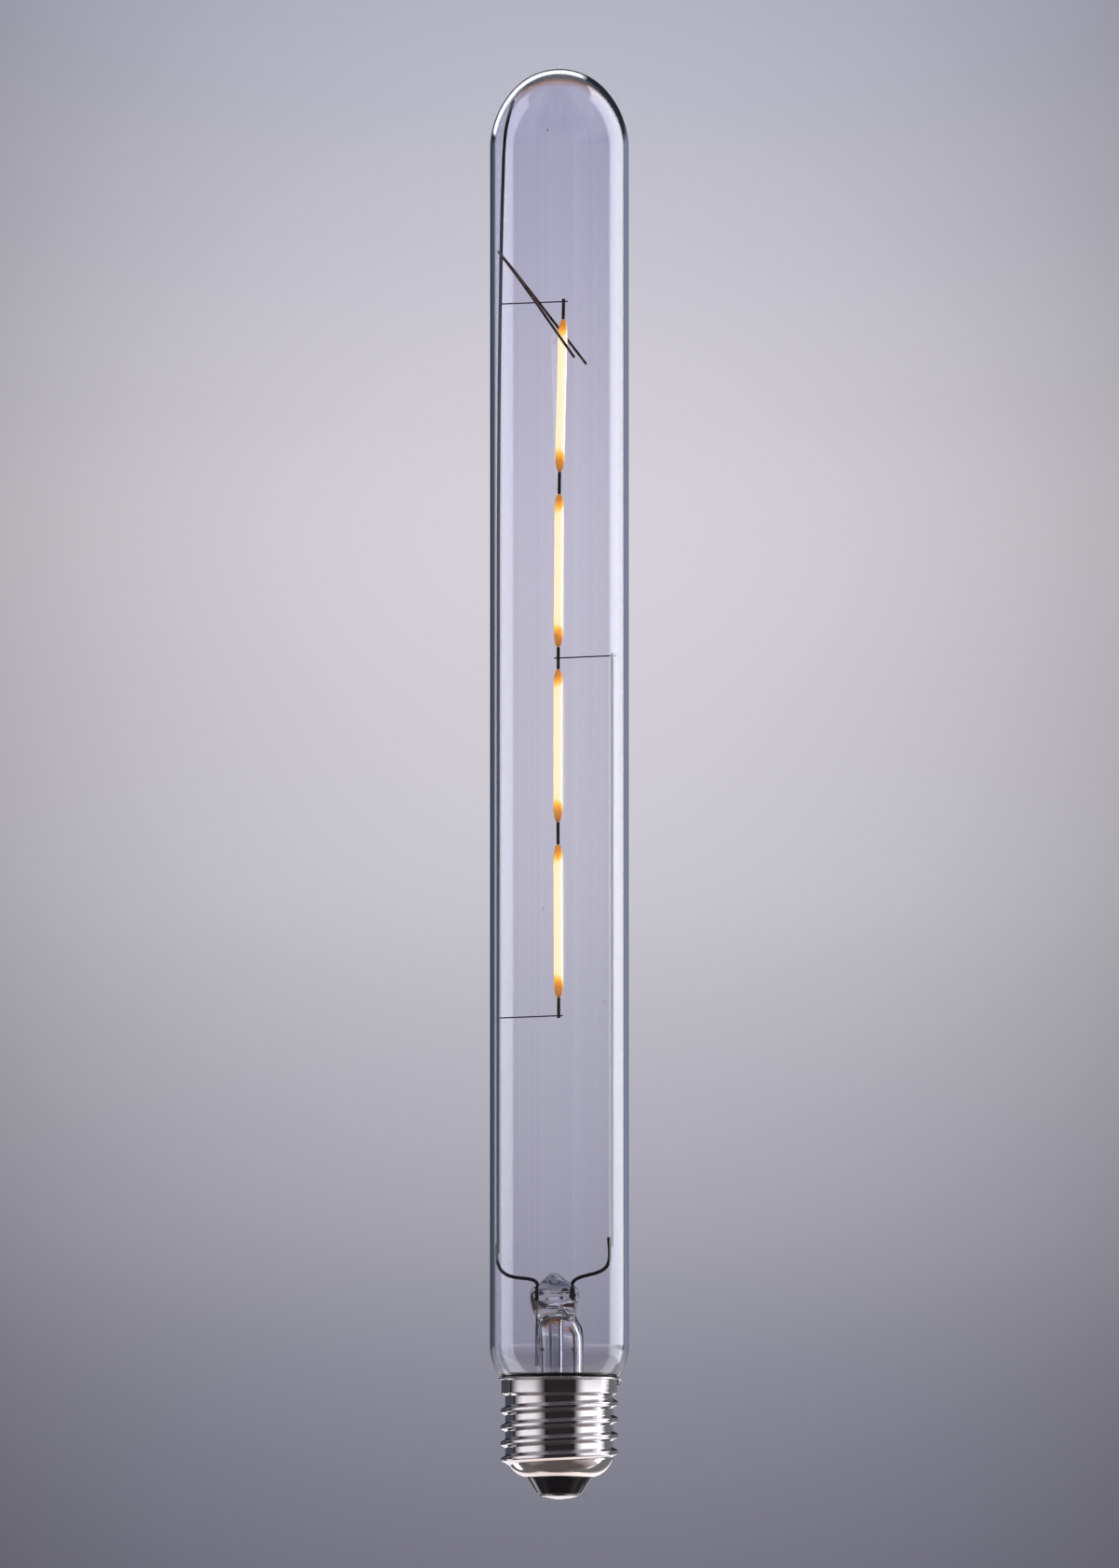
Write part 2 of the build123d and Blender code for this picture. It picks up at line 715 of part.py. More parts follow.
# The neutral wire climbs past the flare and ends on the inside of the skirt, in the cement
channel_x = neck_radius + neck_clearance / 2
cement_top = skirt_top - cement_top_gap
with BuildPart() as neutral_wire:
    with BuildLine() as path:
        Polyline(
            (neutral_x, 0, board_bottom),
            (neutral_x, 0, board_top + neutral_wire_rise),
            (channel_x, 0, flare_bottom - stem_wall),
            (channel_x, 0, cement_top - cement_height / 2),
            (skirt_radius, 0, cement_top - cement_height / 2),
        )
    with BuildSketch(Plane((neutral_x, 0, board_bottom))):
        Circle(neutral_wire_diameter / 2)
    sweep(path=path.line, transition=Transition.RIGHT)
    Cylinder(skirt_inner, 2 * rim_top, mode=Mode.INTERSECT)
hand_over(neutral_wire, "neutral_wire")

with BuildPart() as basing_cement:
    with BuildSketch(Plane.XY.offset(cement_top - cement_height)):
        Circle(skirt_inner)
        Circle(neck_radius, mode=Mode.SUBTRACT)
    extrude(amount=cement_height)
    add(neutral_wire.part, mode=Mode.SUBTRACT)
hand_over(basing_cement, "basing_cement")

# A bead of solder sits on the skirt under the rim
with BuildPart() as side_solder:
    with Locations((skirt_radius + side_solder_stand, 0, skirt_top - side_solder_diameter / 2)):
        Sphere(side_solder_diameter / 2)
    with Locations((0, 0, skirt_top)):
        Cylinder(
            skirt_radius,
            skirt_height,
            align=(Align.CENTER, Align.CENTER, Align.MAX),
            mode=Mode.SUBTRACT,
        )
hand_over(side_solder, "side_solder")
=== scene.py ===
import bmesh
import bpy
import numpy as np
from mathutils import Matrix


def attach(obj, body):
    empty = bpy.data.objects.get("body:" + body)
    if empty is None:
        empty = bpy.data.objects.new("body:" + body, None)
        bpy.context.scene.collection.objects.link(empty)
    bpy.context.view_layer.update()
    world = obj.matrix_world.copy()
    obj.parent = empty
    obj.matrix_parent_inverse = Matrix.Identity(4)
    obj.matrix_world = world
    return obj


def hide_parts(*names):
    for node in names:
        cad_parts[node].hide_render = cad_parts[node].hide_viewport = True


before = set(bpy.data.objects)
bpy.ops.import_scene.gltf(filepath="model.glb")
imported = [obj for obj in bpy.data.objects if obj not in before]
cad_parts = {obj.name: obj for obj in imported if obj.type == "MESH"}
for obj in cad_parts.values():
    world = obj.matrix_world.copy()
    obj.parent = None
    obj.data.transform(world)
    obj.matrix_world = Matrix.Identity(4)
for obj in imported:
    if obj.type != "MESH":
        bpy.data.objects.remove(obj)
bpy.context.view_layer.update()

# Stem: the glass tube that carries everything inside the lamp. Its flared foot is melted to the neck of
# the outer tube, and its top is pinched flat round the leads while hot, which leaves a lumpy stud and a few
# bubbles. The stud's glass is tinted grey-blue as painted shade. Clear soft glass, drawn in millimetres
# like all pieces of the lamp.
millimetre = 0.001
turn = np.linspace(0, 2 * np.pi, 120, endpoint=False)


def eased(share):
    """Smooth step: none below 0, all above 1 and three squares less two cubes between."""
    share = np.clip(share, 0, 1)
    return share**2 * (3 - 2 * share)


def flowing(at, stations, values):
    """Smooth run through values set at stations: between two stations lies a cubic, and its slope at a
    station is the mean slope of the values on both sides of it."""
    stations, values = np.asarray(stations, float), np.asarray(values, float)
    slope = np.gradient(values, stations, axis=0)
    left = np.clip(np.searchsorted(stations, at, side="right") - 1, 0, len(stations) - 2)
    gap = stations[left + 1] - stations[left]
    t = (at - stations[left]) / gap
    if values.ndim > 1:
        t, gap = t[:, None], gap[:, None]
    rise = (1 + 2 * t) * (1 - t) ** 2 * values[left] + t**2 * (3 - 2 * t) * values[left + 1]
    return rise + gap * t * (1 - t) * ((1 - t) * slope[left] - t * slope[left + 1])


def pressed_rings(table, count):
    """Rings of hot-formed glass: a table of level, left side, right side, half depth and squareness is run
    through smoothly, then averaged with its neighbours over and over, as hot glass evens itself out. Each
    ring takes cosine and sine to the power of two over its squareness."""
    table = np.asarray(table, float)
    rows = flowing(np.linspace(0, len(table) - 1, count), np.arange(len(table)), table)
    for _ in range(count // 4):
        rows[1:-1] = (rows[:-2] + 2 * rows[1:-1] + rows[2:]) / 4
    level, left, right, deep, square = rows.T[:, :, None]
    wide, deep = np.maximum(right - left, 0) / 2, np.maximum(deep, 0)
    across = np.sign(np.cos(turn)) * np.abs(np.cos(turn)) ** (2 / square)
    through = np.sign(np.sin(turn)) * np.abs(np.sin(turn)) ** (2 / square)
    return np.stack([(left + right) / 2 + wide * across, deep * through, level + 0 * across], -1)


def bubble(centre, size):
    """Bubble in the glass: an egg of half widths size, wound from its top down, so that it faces inwards."""
    rise = np.linspace(np.pi / 2, -np.pi / 2, 18)[:, None]
    egg = np.stack([np.cos(rise) * np.cos(turn), np.cos(rise) * np.sin(turn), np.sin(rise) + 0 * turn], -1)
    egg[0], egg[-1] = egg[0].mean(0), egg[-1].mean(0)
    return np.array(centre) + np.array(size) * egg


def turned(profile, around=turn):
    """Turned surface: every radius and level of a profile carried once round the lamp's axis."""
    radius, level = np.asarray(profile, float).T[:, :, None]
    return np.stack([radius * np.cos(around), radius * np.sin(around), level + 0 * around], -1)


def skin(name, grids, finish, ringed=False):
    """Piece from grids of points: each row is a ring, joined to the next by quads all the way round. A
    row drawn together into one point becomes a pole, and a ringed grid joins its last row to its first."""
    one_point = 1e-8
    points, quads, charts, used = [], [], [], 0
    for rows in grids:
        rings, around = rows.shape[:2]
        number = used + np.arange(rings * around).reshape(rings, around)
        lower = number if ringed else number[:-1]
        upper = np.roll(number, -1, 0) if ringed else number[1:]
        corners = [lower, np.roll(lower, -1, 1), np.roll(upper, -1, 1), upper]
        quads.append(np.stack(corners, -1).reshape(-1, 4))
        v, u = np.meshgrid(np.arange(len(lower)), np.arange(around), indexing="ij")
        u, v = u / around, v / len(lower)
        du, dv = 1 / around, 1 / len(lower)
        chart = [(u, v), (u + du, v), (u + du, v + dv), (u, v + dv)]
        charts.append(np.stack([np.stack(c, -1) for c in chart], 2).reshape(-1, 2))
        points.append(rows.reshape(-1, 3) * millimetre)
        used += rings * around
    mesh = bpy.data.meshes.new(name)
    mesh.from_pydata(np.concatenate(points).tolist(), [], np.concatenate(quads).tolist())
    mesh.uv_layers.new(name="run").data.foreach_set("uv", np.concatenate(charts).ravel())
    work = bmesh.new()
    work.from_mesh(mesh)
    bmesh.ops.remove_doubles(work, verts=work.verts, dist=one_point)
    work.to_mesh(mesh)
    work.free()
    mesh.polygons.foreach_set("use_smooth", np.ones(len(mesh.polygons), bool))
    mesh.materials.append(finish)
    piece = bpy.data.objects.new(name, mesh)
    bpy.context.scene.collection.objects.link(piece)
    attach(piece, "root")
    return piece


def either(nodes, links, share, first, second):
    """Mix of two shaders: the first where the share is none, the second where it is all."""
    mix = nodes.new("ShaderNodeMixShader")
    for socket, source in zip(mix.inputs, (share, first, second)):
        links.new(source, socket)
    return mix.outputs["Shader"]


def clear_glass(name, face, edge, edge_start, drawn, depth, band_tint=(0.0, 1.0, (1, 1, 1))):
    """Clear glass: the tint goes from face colour to edge colour as the surface turns away, which is painted
    shade for the dark lines along the edges of the glass, a little of it the longer path through the glass.
    The tint is a little uneven along streaks, which also bend the surface by depth in metres. A band tint
    colours the glass between two levels in metres, most at their middle. Lamps shine through it."""
    glass = bpy.data.materials.new(name)
    glass.use_nodes = True
    nodes, links = glass.node_tree.nodes, glass.node_tree.links
    shader = nodes["Principled BSDF"]
    shader.inputs["Transmission Weight"].default_value = 1.0
    shader.inputs["Roughness"].default_value = 0.0
    shader.inputs["IOR"].default_value = 1.5
    # Painted shade: the glass colour darkens towards its edges as the surface turns away from the view.
    grazing_shade = nodes.new("ShaderNodeLayerWeight")
    grazing_shade.inputs["Blend"].default_value = 0.5
    tint = nodes.new("ShaderNodeValToRGB")
    tint.color_ramp.elements[0].position = edge_start
    tint.color_ramp.elements[0].color = (*face, 1)
    tint.color_ramp.elements[1].color = (*edge, 1)
    links.new(grazing_shade.outputs["Facing"], tint.inputs["Fac"])
    where = nodes.new("ShaderNodeTexCoord")
    pull = nodes.new("ShaderNodeMapping")
    pull.inputs["Scale"].default_value = drawn
    links.new(where.outputs["Object"], pull.inputs["Vector"])
    streak = nodes.new("ShaderNodeTexNoise")
    streak.inputs["Scale"].default_value = 1.0
    streak.inputs["Detail"].default_value = 3.0
    links.new(pull.outputs["Vector"], streak.inputs["Vector"])
    uneven = nodes.new("ShaderNodeValToRGB")
    uneven.color_ramp.elements[0].position, uneven.color_ramp.elements[1].position = 0.35, 0.65
    uneven.color_ramp.elements[0].color = (0.972, 0.972, 0.98, 1)
    links.new(streak.outputs["Fac"], uneven.inputs["Fac"])
    height = nodes.new("ShaderNodeSeparateXYZ")
    links.new(where.outputs["Object"], height.inputs["Vector"])
    span = nodes.new("ShaderNodeMapRange")
    span.inputs["From Min"].default_value, span.inputs["From Max"].default_value = band_tint[:2]
    links.new(height.outputs["Z"], span.inputs["Value"])
    # Band tint: painted shade on the stem's stud, an amber band on the exhaust tube.
    band_ramp = nodes.new("ShaderNodeValToRGB")
    band_ramp.color_ramp.interpolation = "EASE"
    for end in band_ramp.color_ramp.elements:
        end.color = (1, 1, 1, 1)
    band_ramp.color_ramp.elements.new(0.5).color = (*band_tint[2], 1)
    links.new(span.outputs["Result"], band_ramp.inputs["Fac"])
    tinted = tint.outputs["Color"]
    for shade in (uneven, band_ramp):
        layer = nodes.new("ShaderNodeMix")
        layer.data_type, layer.blend_type = "RGBA", "MULTIPLY"
        layer.inputs["Factor"].default_value = 1.0
        links.new(tinted, layer.inputs[6])
        links.new(shade.outputs["Color"], layer.inputs[7])
        tinted = layer.outputs[2]
    links.new(tinted, shader.inputs["Base Color"])
    bend = nodes.new("ShaderNodeBump")
    bend.inputs["Distance"].default_value = depth
    links.new(streak.outputs["Fac"], bend.inputs["Height"])
    links.new(bend.outputs["Normal"], shader.inputs["Normal"])
    path = nodes.new("ShaderNodeLightPath")
    through = nodes.new("ShaderNodeBsdfTransparent")
    lit = either(nodes, links, path.outputs["Is Shadow Ray"], shader.outputs["BSDF"], through.outputs["BSDF"])
    links.new(lit, nodes["Material Output"].inputs["Surface"])
    return glass


# Painted shade: the stem's stud is tinted grey-blue between these levels, for the dark the pressed glass
# shows.
stud_painted_shade = (0.0452, 0.0508, (0.36, 0.38, 0.46))
stem_glass = clear_glass(
    "stem_glass", (0.97, 0.97, 0.985), (0.22, 0.24, 0.32), 0.35, (260, 260, 40), 6e-6, stud_painted_shade
)
bell = np.linspace(0, 1, 14)[:, None]
bell_out = (1 - bell) ** 2 * (10.1, 19.5) + 2 * bell * (1 - bell) * (5.4, 19.5) + bell**2 * (5.4, 24.2)
bell_in = (1 - bell) ** 2 * (10.1, 18.6) + 2 * bell * (1 - bell) * (4.5, 18.6) + bell**2 * (4.5, 24.2)
foot_rim = ((10.55, 18.6), (10.9, 18.63), (11.0, 18.75), (11.0, 19.35), (10.9, 19.47), (10.5, 19.5))
stem_outside = pressed_rings(
    (
        (24.2, -5.4, 5.4, 5.4, 2.0),
        (29.0, -5.4, 5.4, 5.4, 2.0),
        (33.5, -5.4, 5.4, 5.4, 2.0),
        (36.6, -5.38, 5.36, 5.35, 2.0),
        (38.2, -5.32, 5.1, 5.1, 2.0),
        (39.3, -5.28, 4.5, 4.6, 2.0),
        (40.2, -5.25, 3.95, 3.9, 2.05),
        (41.1, -5.45, 3.68, 3.2, 2.1),
        (42.3, -6.0, 3.78, 2.7, 2.15),
        (43.6, -6.4, 4.08, 2.5, 2.2),
        (45.2, -6.5, 4.38, 2.45, 2.2),
        (46.4, -6.4, 4.3, 2.4, 2.2),
        (47.2, -5.95, 3.85, 2.25, 2.15),
        (47.8, -4.75, 3.0, 2.0, 2.1),
        (48.4, -3.95, 2.15, 1.8, 2.0),
        (49.2, -3.35, 0.95, 1.55, 2.0),
        (49.9, -2.55, 0.2, 1.25, 2.0),
        (50.35, -1.85, -0.55, 0.75, 2.0),
        (50.5, -1.2, -1.2, 0.0, 2.0),
    ),
    300,
)
stem_x, stem_z = stem_outside[..., 0], stem_outside[..., 2]
lump = 0 * stem_x
for mound_x, mound_z, wide, high, swell in (
    (-1.6, 44.3, 2.2, 1.2, 0.42),
    (1.4, 46.2, 1.5, 1.1, -0.45),
    (-3.4, 47.0, 1.4, 1.2, 0.3),
    (0.7, 42.9, 1.4, 0.9, -0.42),
    (2.7, 44.6, 1.1, 1.4, 0.3),
    (-1.2, 48.8, 1.3, 0.7, 0.4),
):
    lump += swell * np.exp(-(((stem_x - mound_x) / wide) ** 2) - ((stem_z - mound_z) / high) ** 2)
stem_outside[..., 1] *= 1 + lump
ripple_low, ripple_high = 46.5, 50.4
stud_ripple = 0.09 * np.sin(2.6 * stem_z + 1.5 * np.sign(stem_x + 1.2))
stud_ripple *= eased((stem_z - ripple_low) / 2) * eased((ripple_high - stem_z) / 1.5)
stem_outside[..., 0] += stud_ripple
stem_inside = pressed_rings(
    (
        (24.2, -4.5, 4.5, 4.5, 2.0),
        (30.0, -4.5, 4.5, 4.5, 2.0),
        (35.5, -4.5, 4.5, 4.5, 2.0),
        (37.4, -4.45, 4.2, 4.3, 2.0),
        (38.8, -4.3, 3.5, 3.6, 2.0),
        (40.0, -3.8, 2.6, 2.6, 2.0),
        (40.8, -2.7, 1.3, 1.5, 2.0),
        (41.0, -0.75, -0.75, 0.0, 2.0),
    ),
    120,
)
press_bubbles = [
    bubble((-1.4, -0.55, 43.0), (1.35, 0.85, 0.8)),
    bubble((0.95, -0.6, 42.3), (0.45, 0.45, 0.75)),
    bubble((-4.55, -0.7, 40.5), (0.42, 0.6, 0.75)),
    bubble((-1.2, -0.3, 49.2), (0.45, 0.4, 0.4)),
]
stem_foot = [turned(bell_in[-2:0:-1]), turned(foot_rim), turned(bell_out[1:-1])]
stem_wall = [stem_inside[::-1], *stem_foot, stem_outside]
stem = skin("stem_glasswork", [np.concatenate(stem_wall), *press_bubbles], stem_glass)
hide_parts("stem")

# Exhaust tube: the thin glass tube through which the lamp was pumped and filled. It is melted into the
# press at its top, where the glass is tinted amber for a short way, hangs free inside the stem and is
# sealed off to a rounded tip inside the cap.
pump_x, pump_r, pump_bore = -0.75, 1.6, 1.1
seal_level, seal_hollow = 18.2, 0.6
tip = np.linspace(0, np.pi / 2, 10)[:, None]
pump_tip = np.hstack([pump_r * np.sin(tip), seal_level - pump_r * np.cos(tip)])
pump_bottom = np.hstack([pump_bore * np.sin(tip), seal_level - seal_hollow * np.cos(tip)])
pump_side = np.linspace(19.0, 39.6, 14)[:, None]
pump_lip = ((1.15, 40.0), (1.25, 40.15), (1.5, 40.15), (1.6, 40.0))
pump_inside = np.vstack([pump_bottom, np.hstack([0 * pump_side + pump_bore, pump_side]), pump_lip[:2]])
pump_outside = np.vstack([pump_tip, np.hstack([0 * pump_side + pump_r, pump_side]), pump_lip[:1:-1]])
pump_rows = turned(np.vstack([pump_outside, pump_inside[::-1]])) + (pump_x, 0, 0)
# Amber tint on the glass near the top of the tube, between these levels.
top_amber_band = (0.0385, 0.0415, (0.72, 0.36, 0.12))
pump_glass = clear_glass(
    "pump_tube_glass", (0.97, 0.97, 0.98), (0.6, 0.62, 0.7), 0.5, (300, 300, 30), 4e-6, top_amber_band
)
exhaust_tube = skin("exhaust_glasswork", [pump_rows], pump_glass)
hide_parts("exhaust_tube")


# Leads: each is three wires welded end to end. Dark nickel wire bends out of the press and up to a rod,
# a thin copper-clad wire makes the gas-tight seal in the glass, and a tinned copper wire runs to the cap.
def worked_finish(name, dark, light, grain, gloss, relief, metal=0.0):
    """Worked surface: noise on the lamp's own coordinates, stretched by grain in cells a metre, moves the
    colour from dark to light and the roughness over the gloss range, and raises the surface by relief."""
    finish = bpy.data.materials.new(name)
    finish.use_nodes = True
    nodes, links = finish.node_tree.nodes, finish.node_tree.links
    shader = nodes["Principled BSDF"]
    shader.inputs["Metallic"].default_value = metal
    where = nodes.new("ShaderNodeTexCoord")
    stretch = nodes.new("ShaderNodeMapping")
    stretch.inputs["Scale"].default_value = grain
    links.new(where.outputs["Object"], stretch.inputs["Vector"])
    mottle = nodes.new("ShaderNodeTexNoise")
    mottle.inputs["Scale"].default_value = 1.0
    mottle.inputs["Detail"].default_value = 5.0
    mottle.inputs["Roughness"].default_value = 0.6
    links.new(stretch.outputs["Vector"], mottle.inputs["Vector"])
    shade = nodes.new("ShaderNodeValToRGB")
    shade.color_ramp.elements[0].position = 0.32
    shade.color_ramp.elements[0].color = (*dark, 1)
    shade.color_ramp.elements[1].position = 0.68
    shade.color_ramp.elements[1].color = (*light, 1)
    links.new(mottle.outputs["Fac"], shade.inputs["Fac"])
    links.new(shade.outputs["Color"], shader.inputs["Base Color"])
    polish = nodes.new("ShaderNodeMapRange")
    polish.inputs["From Min"].default_value = 0.3
    polish.inputs["From Max"].default_value = 0.7
    polish.inputs["To Min"].default_value = gloss[0]
    polish.inputs["To Max"].default_value = gloss[1]
    links.new(mottle.outputs["Fac"], polish.inputs["Value"])
    links.new(polish.outputs["Result"], shader.inputs["Roughness"])
    tooth = nodes.new("ShaderNodeBump")
    tooth.inputs["Distance"].default_value = relief
    links.new(mottle.outputs["Fac"], tooth.inputs["Height"])
    links.new(tooth.outputs["Normal"], shader.inputs["Normal"])
    return finish


def dress(node, finish):
    """Finish for a piece that keeps the solid of the frame."""
    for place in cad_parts[node].material_slots:
        place.material = finish


def wire(points, thick, across=(0, 1, 0)):
    """Round wire: a ring of the given thickness carried square to a smooth run through the points, spanned
    by the run crossed with the across direction. Its radius falls to nothing in a half circle at each end."""
    ring_gap, fewest_rings, most_rings = 0.35, 8, 420
    points = np.asarray(points, float)
    stations = np.concatenate([[0], np.cumsum(np.linalg.norm(np.diff(points, axis=0), axis=1))])
    half, length = thick / 2, stations[-1]
    nose = half * np.array([0, 0.03, 0.12, 0.3, 0.6])
    rings = int(np.clip(length / ring_gap, fewest_rings, most_rings))
    middle = np.linspace(half, length - half, rings)
    along = np.concatenate([nose, middle, length - nose[::-1]])
    line = flowing(along, stations, points)
    ahead = np.gradient(line, along, axis=0)
    ahead /= np.linalg.norm(ahead, axis=1, keepdims=True)
    side = np.cross(ahead, across)
    side /= np.linalg.norm(side, axis=1, keepdims=True)
    other = np.cross(ahead, side)
    short = np.clip(np.minimum(along, length - along) / half, 0, 1)
    radius = (half * np.sqrt(np.clip(1 - (1 - short) ** 2, 0, 1)))[:, None, None]
    round_wire = np.linspace(0, 2 * np.pi, 20, endpoint=False)[:, None]
    return line[:, None] + radius * (np.cos(round_wire) * side[:, None] + np.sin(round_wire) * other[:, None])


def weld_knot(x, low, high, thick):
    """Weld knot: a barrel on an upright wire, its radius swelling as the square root of a half wave."""
    level, around = np.linspace(0, np.pi, 13)[:, None], turn[::5]
    radius = thick / 2 * np.sqrt(np.clip(np.sin(level), 0, 1)) * (1 + 0.06 * np.sin(3 * around))
    radius[0], radius[-1] = 0, 0
    z = low + (high - low) * (1 - np.cos(level)) / 2 + 0 * around
    return np.stack([x + radius * np.cos(around), radius * np.sin(around), z], -1)


lead_dark, lead_light = (0.012, 0.012, 0.015), (0.05, 0.047, 0.052)
lead_finish = worked_finish(
    "oxidised_lead_wire", lead_dark, lead_light, (4000, 4000, 900), (0.3, 0.5), 5e-6, 0.85
)
lead_thick = 0.8
knot_low, knot_high, knot_thick = 44.3, 45.1, 1.05
lead_runs = {
    "left": (
        (-4.7, 0, 44.4), (-4.7, 0, 47.0), (-4.85, 0, 47.9), (-5.5, 0, 48.7), (-6.7, 0, 49.1), (-8.4, 0, 49.3),
        (-10.2, 0, 49.55), (-11.9, 0, 50.15), (-13.1, 0, 51.2), (-13.8, 0, 52.7), (-14.05, 0, 54.6),
        (-14.1, 0, 57.1),
    ),
    "right": (
        (2.8, 0, 44.4), (2.8, 0, 47.1), (2.87, 0, 48.0), (3.35, 0, 48.8), (4.4, 0, 49.4), (6.4, 0, 50.0),
        (8.3, 0, 50.5), (9.7, 0, 51.15), (10.7, 0, 52.15), (11.15, 0, 53.6), (11.18, 0, 55.3),
        (11.0, 0, 58.5),
    ),
}
for side, run in lead_runs.items():
    knot = weld_knot(run[0][0], knot_low, knot_high, knot_thick)
    inner_lead = skin(f"{side}_lead_wire", [wire(run, lead_thick), knot], lead_finish)
    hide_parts(f"{side}_inner_lead")

seal_finish = worked_finish(
    "copper_clad_wire", (0.16, 0.055, 0.035), (0.36, 0.15, 0.1), (5000, 5000, 1200), (0.25, 0.45), 4e-6, 0.6
)
outer_finish = worked_finish(
    "tinned_lead_wire", (0.12, 0.115, 0.115), (0.3, 0.29, 0.28), (5000, 5000, 500), (0.3, 0.5), 4e-6, 1.0
)
for side in ("left", "right"):
    dress(f"{side}_seal_wire", seal_finish)
    dress(f"{side}_outer_lead", outer_finish)

# Support rods: two stiff nickel wires spot-welded beside the leads. The left one runs the whole length of
# the tube close to the glass and bends in under the dome, the right one stops half way up. The left rod's
# nickel is painted nearly black as painted shade, the right one keeps the nickel's own pale grey.
rod_thick = 0.8
left_run = (
    (-13.78, 0, 54.7), (-13.8, 0, 80.0), (-13.78, 0, 110.0), (-13.74, 0, 150.0), (-13.72, 0, 190.0),
    (-13.67, 0, 222.0), (-13.58, 0, 235.0), (-13.45, 0, 251.4), (-13.21, 0, 268.0), (-12.92, 0, 284.0),
    (-12.55, 0, 297.0), (-12.4, 0, 301.3), (-12.05, 0, 305.4), (-11.2, 0, 309.6), (-10.3, 0, 312.85),
)
right_run = ((11.825, 0, 56.1), (11.825, 0, 100.0), (11.825, 0, 145.0), (11.825, 0, 188.92))
for side, run, dark, light in (
    # left: the nickel painted nearly black as painted shade; right: the nickel's own pale grey
    ("left", left_run, (0.012, 0.011, 0.014), (0.05, 0.042, 0.045)),
    ("right", right_run, (0.3, 0.29, 0.32), (0.55, 0.53, 0.56)),
):
    rod_finish = worked_finish(f"{side}_rod_wire", dark, light, (4000, 4000, 120), (0.25, 0.42), 5e-6, 1.0)
    rod = skin(f"{side}_rod_wire", [wire(run, rod_thick)], rod_finish)
    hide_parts(f"{side}_support_rod")

# Filaments: four strips of tiny light chips in a line, each dipped in a clear yellow phosphor gel that
# runs thin towards its ends. The lit length glows warm white, whiter on the side of the chips, and the
# ends stay amber over their tabs.
glow = bpy.data.materials.new("phosphor_gel")
glow.use_nodes = True
glow_nodes, glow_links = glow.node_tree.nodes, glow.node_tree.links
gel = glow_nodes["Principled BSDF"]
gel.inputs["Roughness"].default_value = 0.35
gel_chart = glow_nodes.new("ShaderNodeUVMap")
gel_chart.uv_map = "run"
gel_split = glow_nodes.new("ShaderNodeSeparateXYZ")
glow_links.new(gel_chart.outputs["UV"], gel_split.inputs["Vector"])
gel_where = glow_nodes.new("ShaderNodeTexCoord")
gel_grain = glow_nodes.new("ShaderNodeTexNoise")
gel_grain.inputs["Scale"].default_value = 900.0
glow_links.new(gel_where.outputs["Object"], gel_grain.inputs["Vector"])


def arithmetic(nodes, links):
    """Arithmetic for one finish or the sky: the operation is worked on values and plain numbers, one after
    another from the left."""

    def work(operation, first, *others):
        for second in others:
            step = nodes.new("ShaderNodeMath")
            step.operation = operation
            for socket, value in zip(step.inputs, (first, second)):
                if isinstance(value, (int, float)):
                    socket.default_value = value
                else:
                    links.new(value, socket)
            first = step.outputs["Value"]
        return first

    return work


gel_math = arithmetic(glow_nodes, glow_links)
round_gel = gel_math("MULTIPLY", gel_split.outputs["X"], 2 * np.pi)
chip_side = gel_math("MAXIMUM", gel_math("COSINE", round_gel, 0.0), 0.0)
from_end = gel_math("MINIMUM", gel_split.outputs["Y"], gel_math("SUBTRACT", 1.03, gel_split.outputs["Y"]))
from_end = gel_math("ADD", from_end, gel_math("MULTIPLY", gel_grain.outputs["Fac"], 0.024))
from_end = gel_math("ADD", from_end, gel_math("MULTIPLY", gel_math("POWER", chip_side, 2.0), 0.04))
gel_light = glow_nodes.new("ShaderNodeValToRGB")
gel_stops = (
    (0.02, (0.06, 0.02, 0.004)),
    (0.22, (0.28, 0.1, 0.02)),
    (0.42, (0.52, 0.165, 0.025)),
    (0.53, (0.85, 0.36, 0.035)),
    (0.62, (0.96, 0.6, 0.14)),
    (0.72, (0.98, 0.85, 0.5)),
    (1.0, (0.98, 0.87, 0.6)),
)
for end, (place, colour) in zip(gel_light.color_ramp.elements, (gel_stops[0], gel_stops[-1])):
    end.position = place
    end.color = (*colour, 1)
for place, colour in gel_stops[1:-1]:
    gel_light.color_ramp.elements.new(place).color = (*colour, 1)
glow_links.new(gel_math("DIVIDE", from_end, 0.25), gel_light.inputs["Fac"])
gel_white = glow_nodes.new("ShaderNodeMix")
gel_white.data_type = "RGBA"
gel_white.inputs[7].default_value = (1.0, 0.97, 0.88, 1)
lit_chips = gel_math("MULTIPLY", gel_math("GREATER_THAN", from_end, 0.17), chip_side)
glow_links.new(lit_chips, gel_white.inputs["Factor"])
glow_links.new(gel_light.outputs["Color"], gel_white.inputs[6])
glow_links.new(gel_white.outputs[2], gel.inputs["Emission Color"])
gel.inputs["Emission Strength"].default_value = 1.05
gel_body = glow_nodes.new("ShaderNodeValToRGB")
gel_body.color_ramp.elements[0].color = (0.3, 0.13, 0.02, 1)
gel_body.color_ramp.elements[1].color = (0.5, 0.26, 0.05, 1)
glow_links.new(gel_grain.outputs["Fac"], gel_body.inputs["Fac"])
glow_links.new(gel_body.outputs["Color"], gel.inputs["Base Color"])

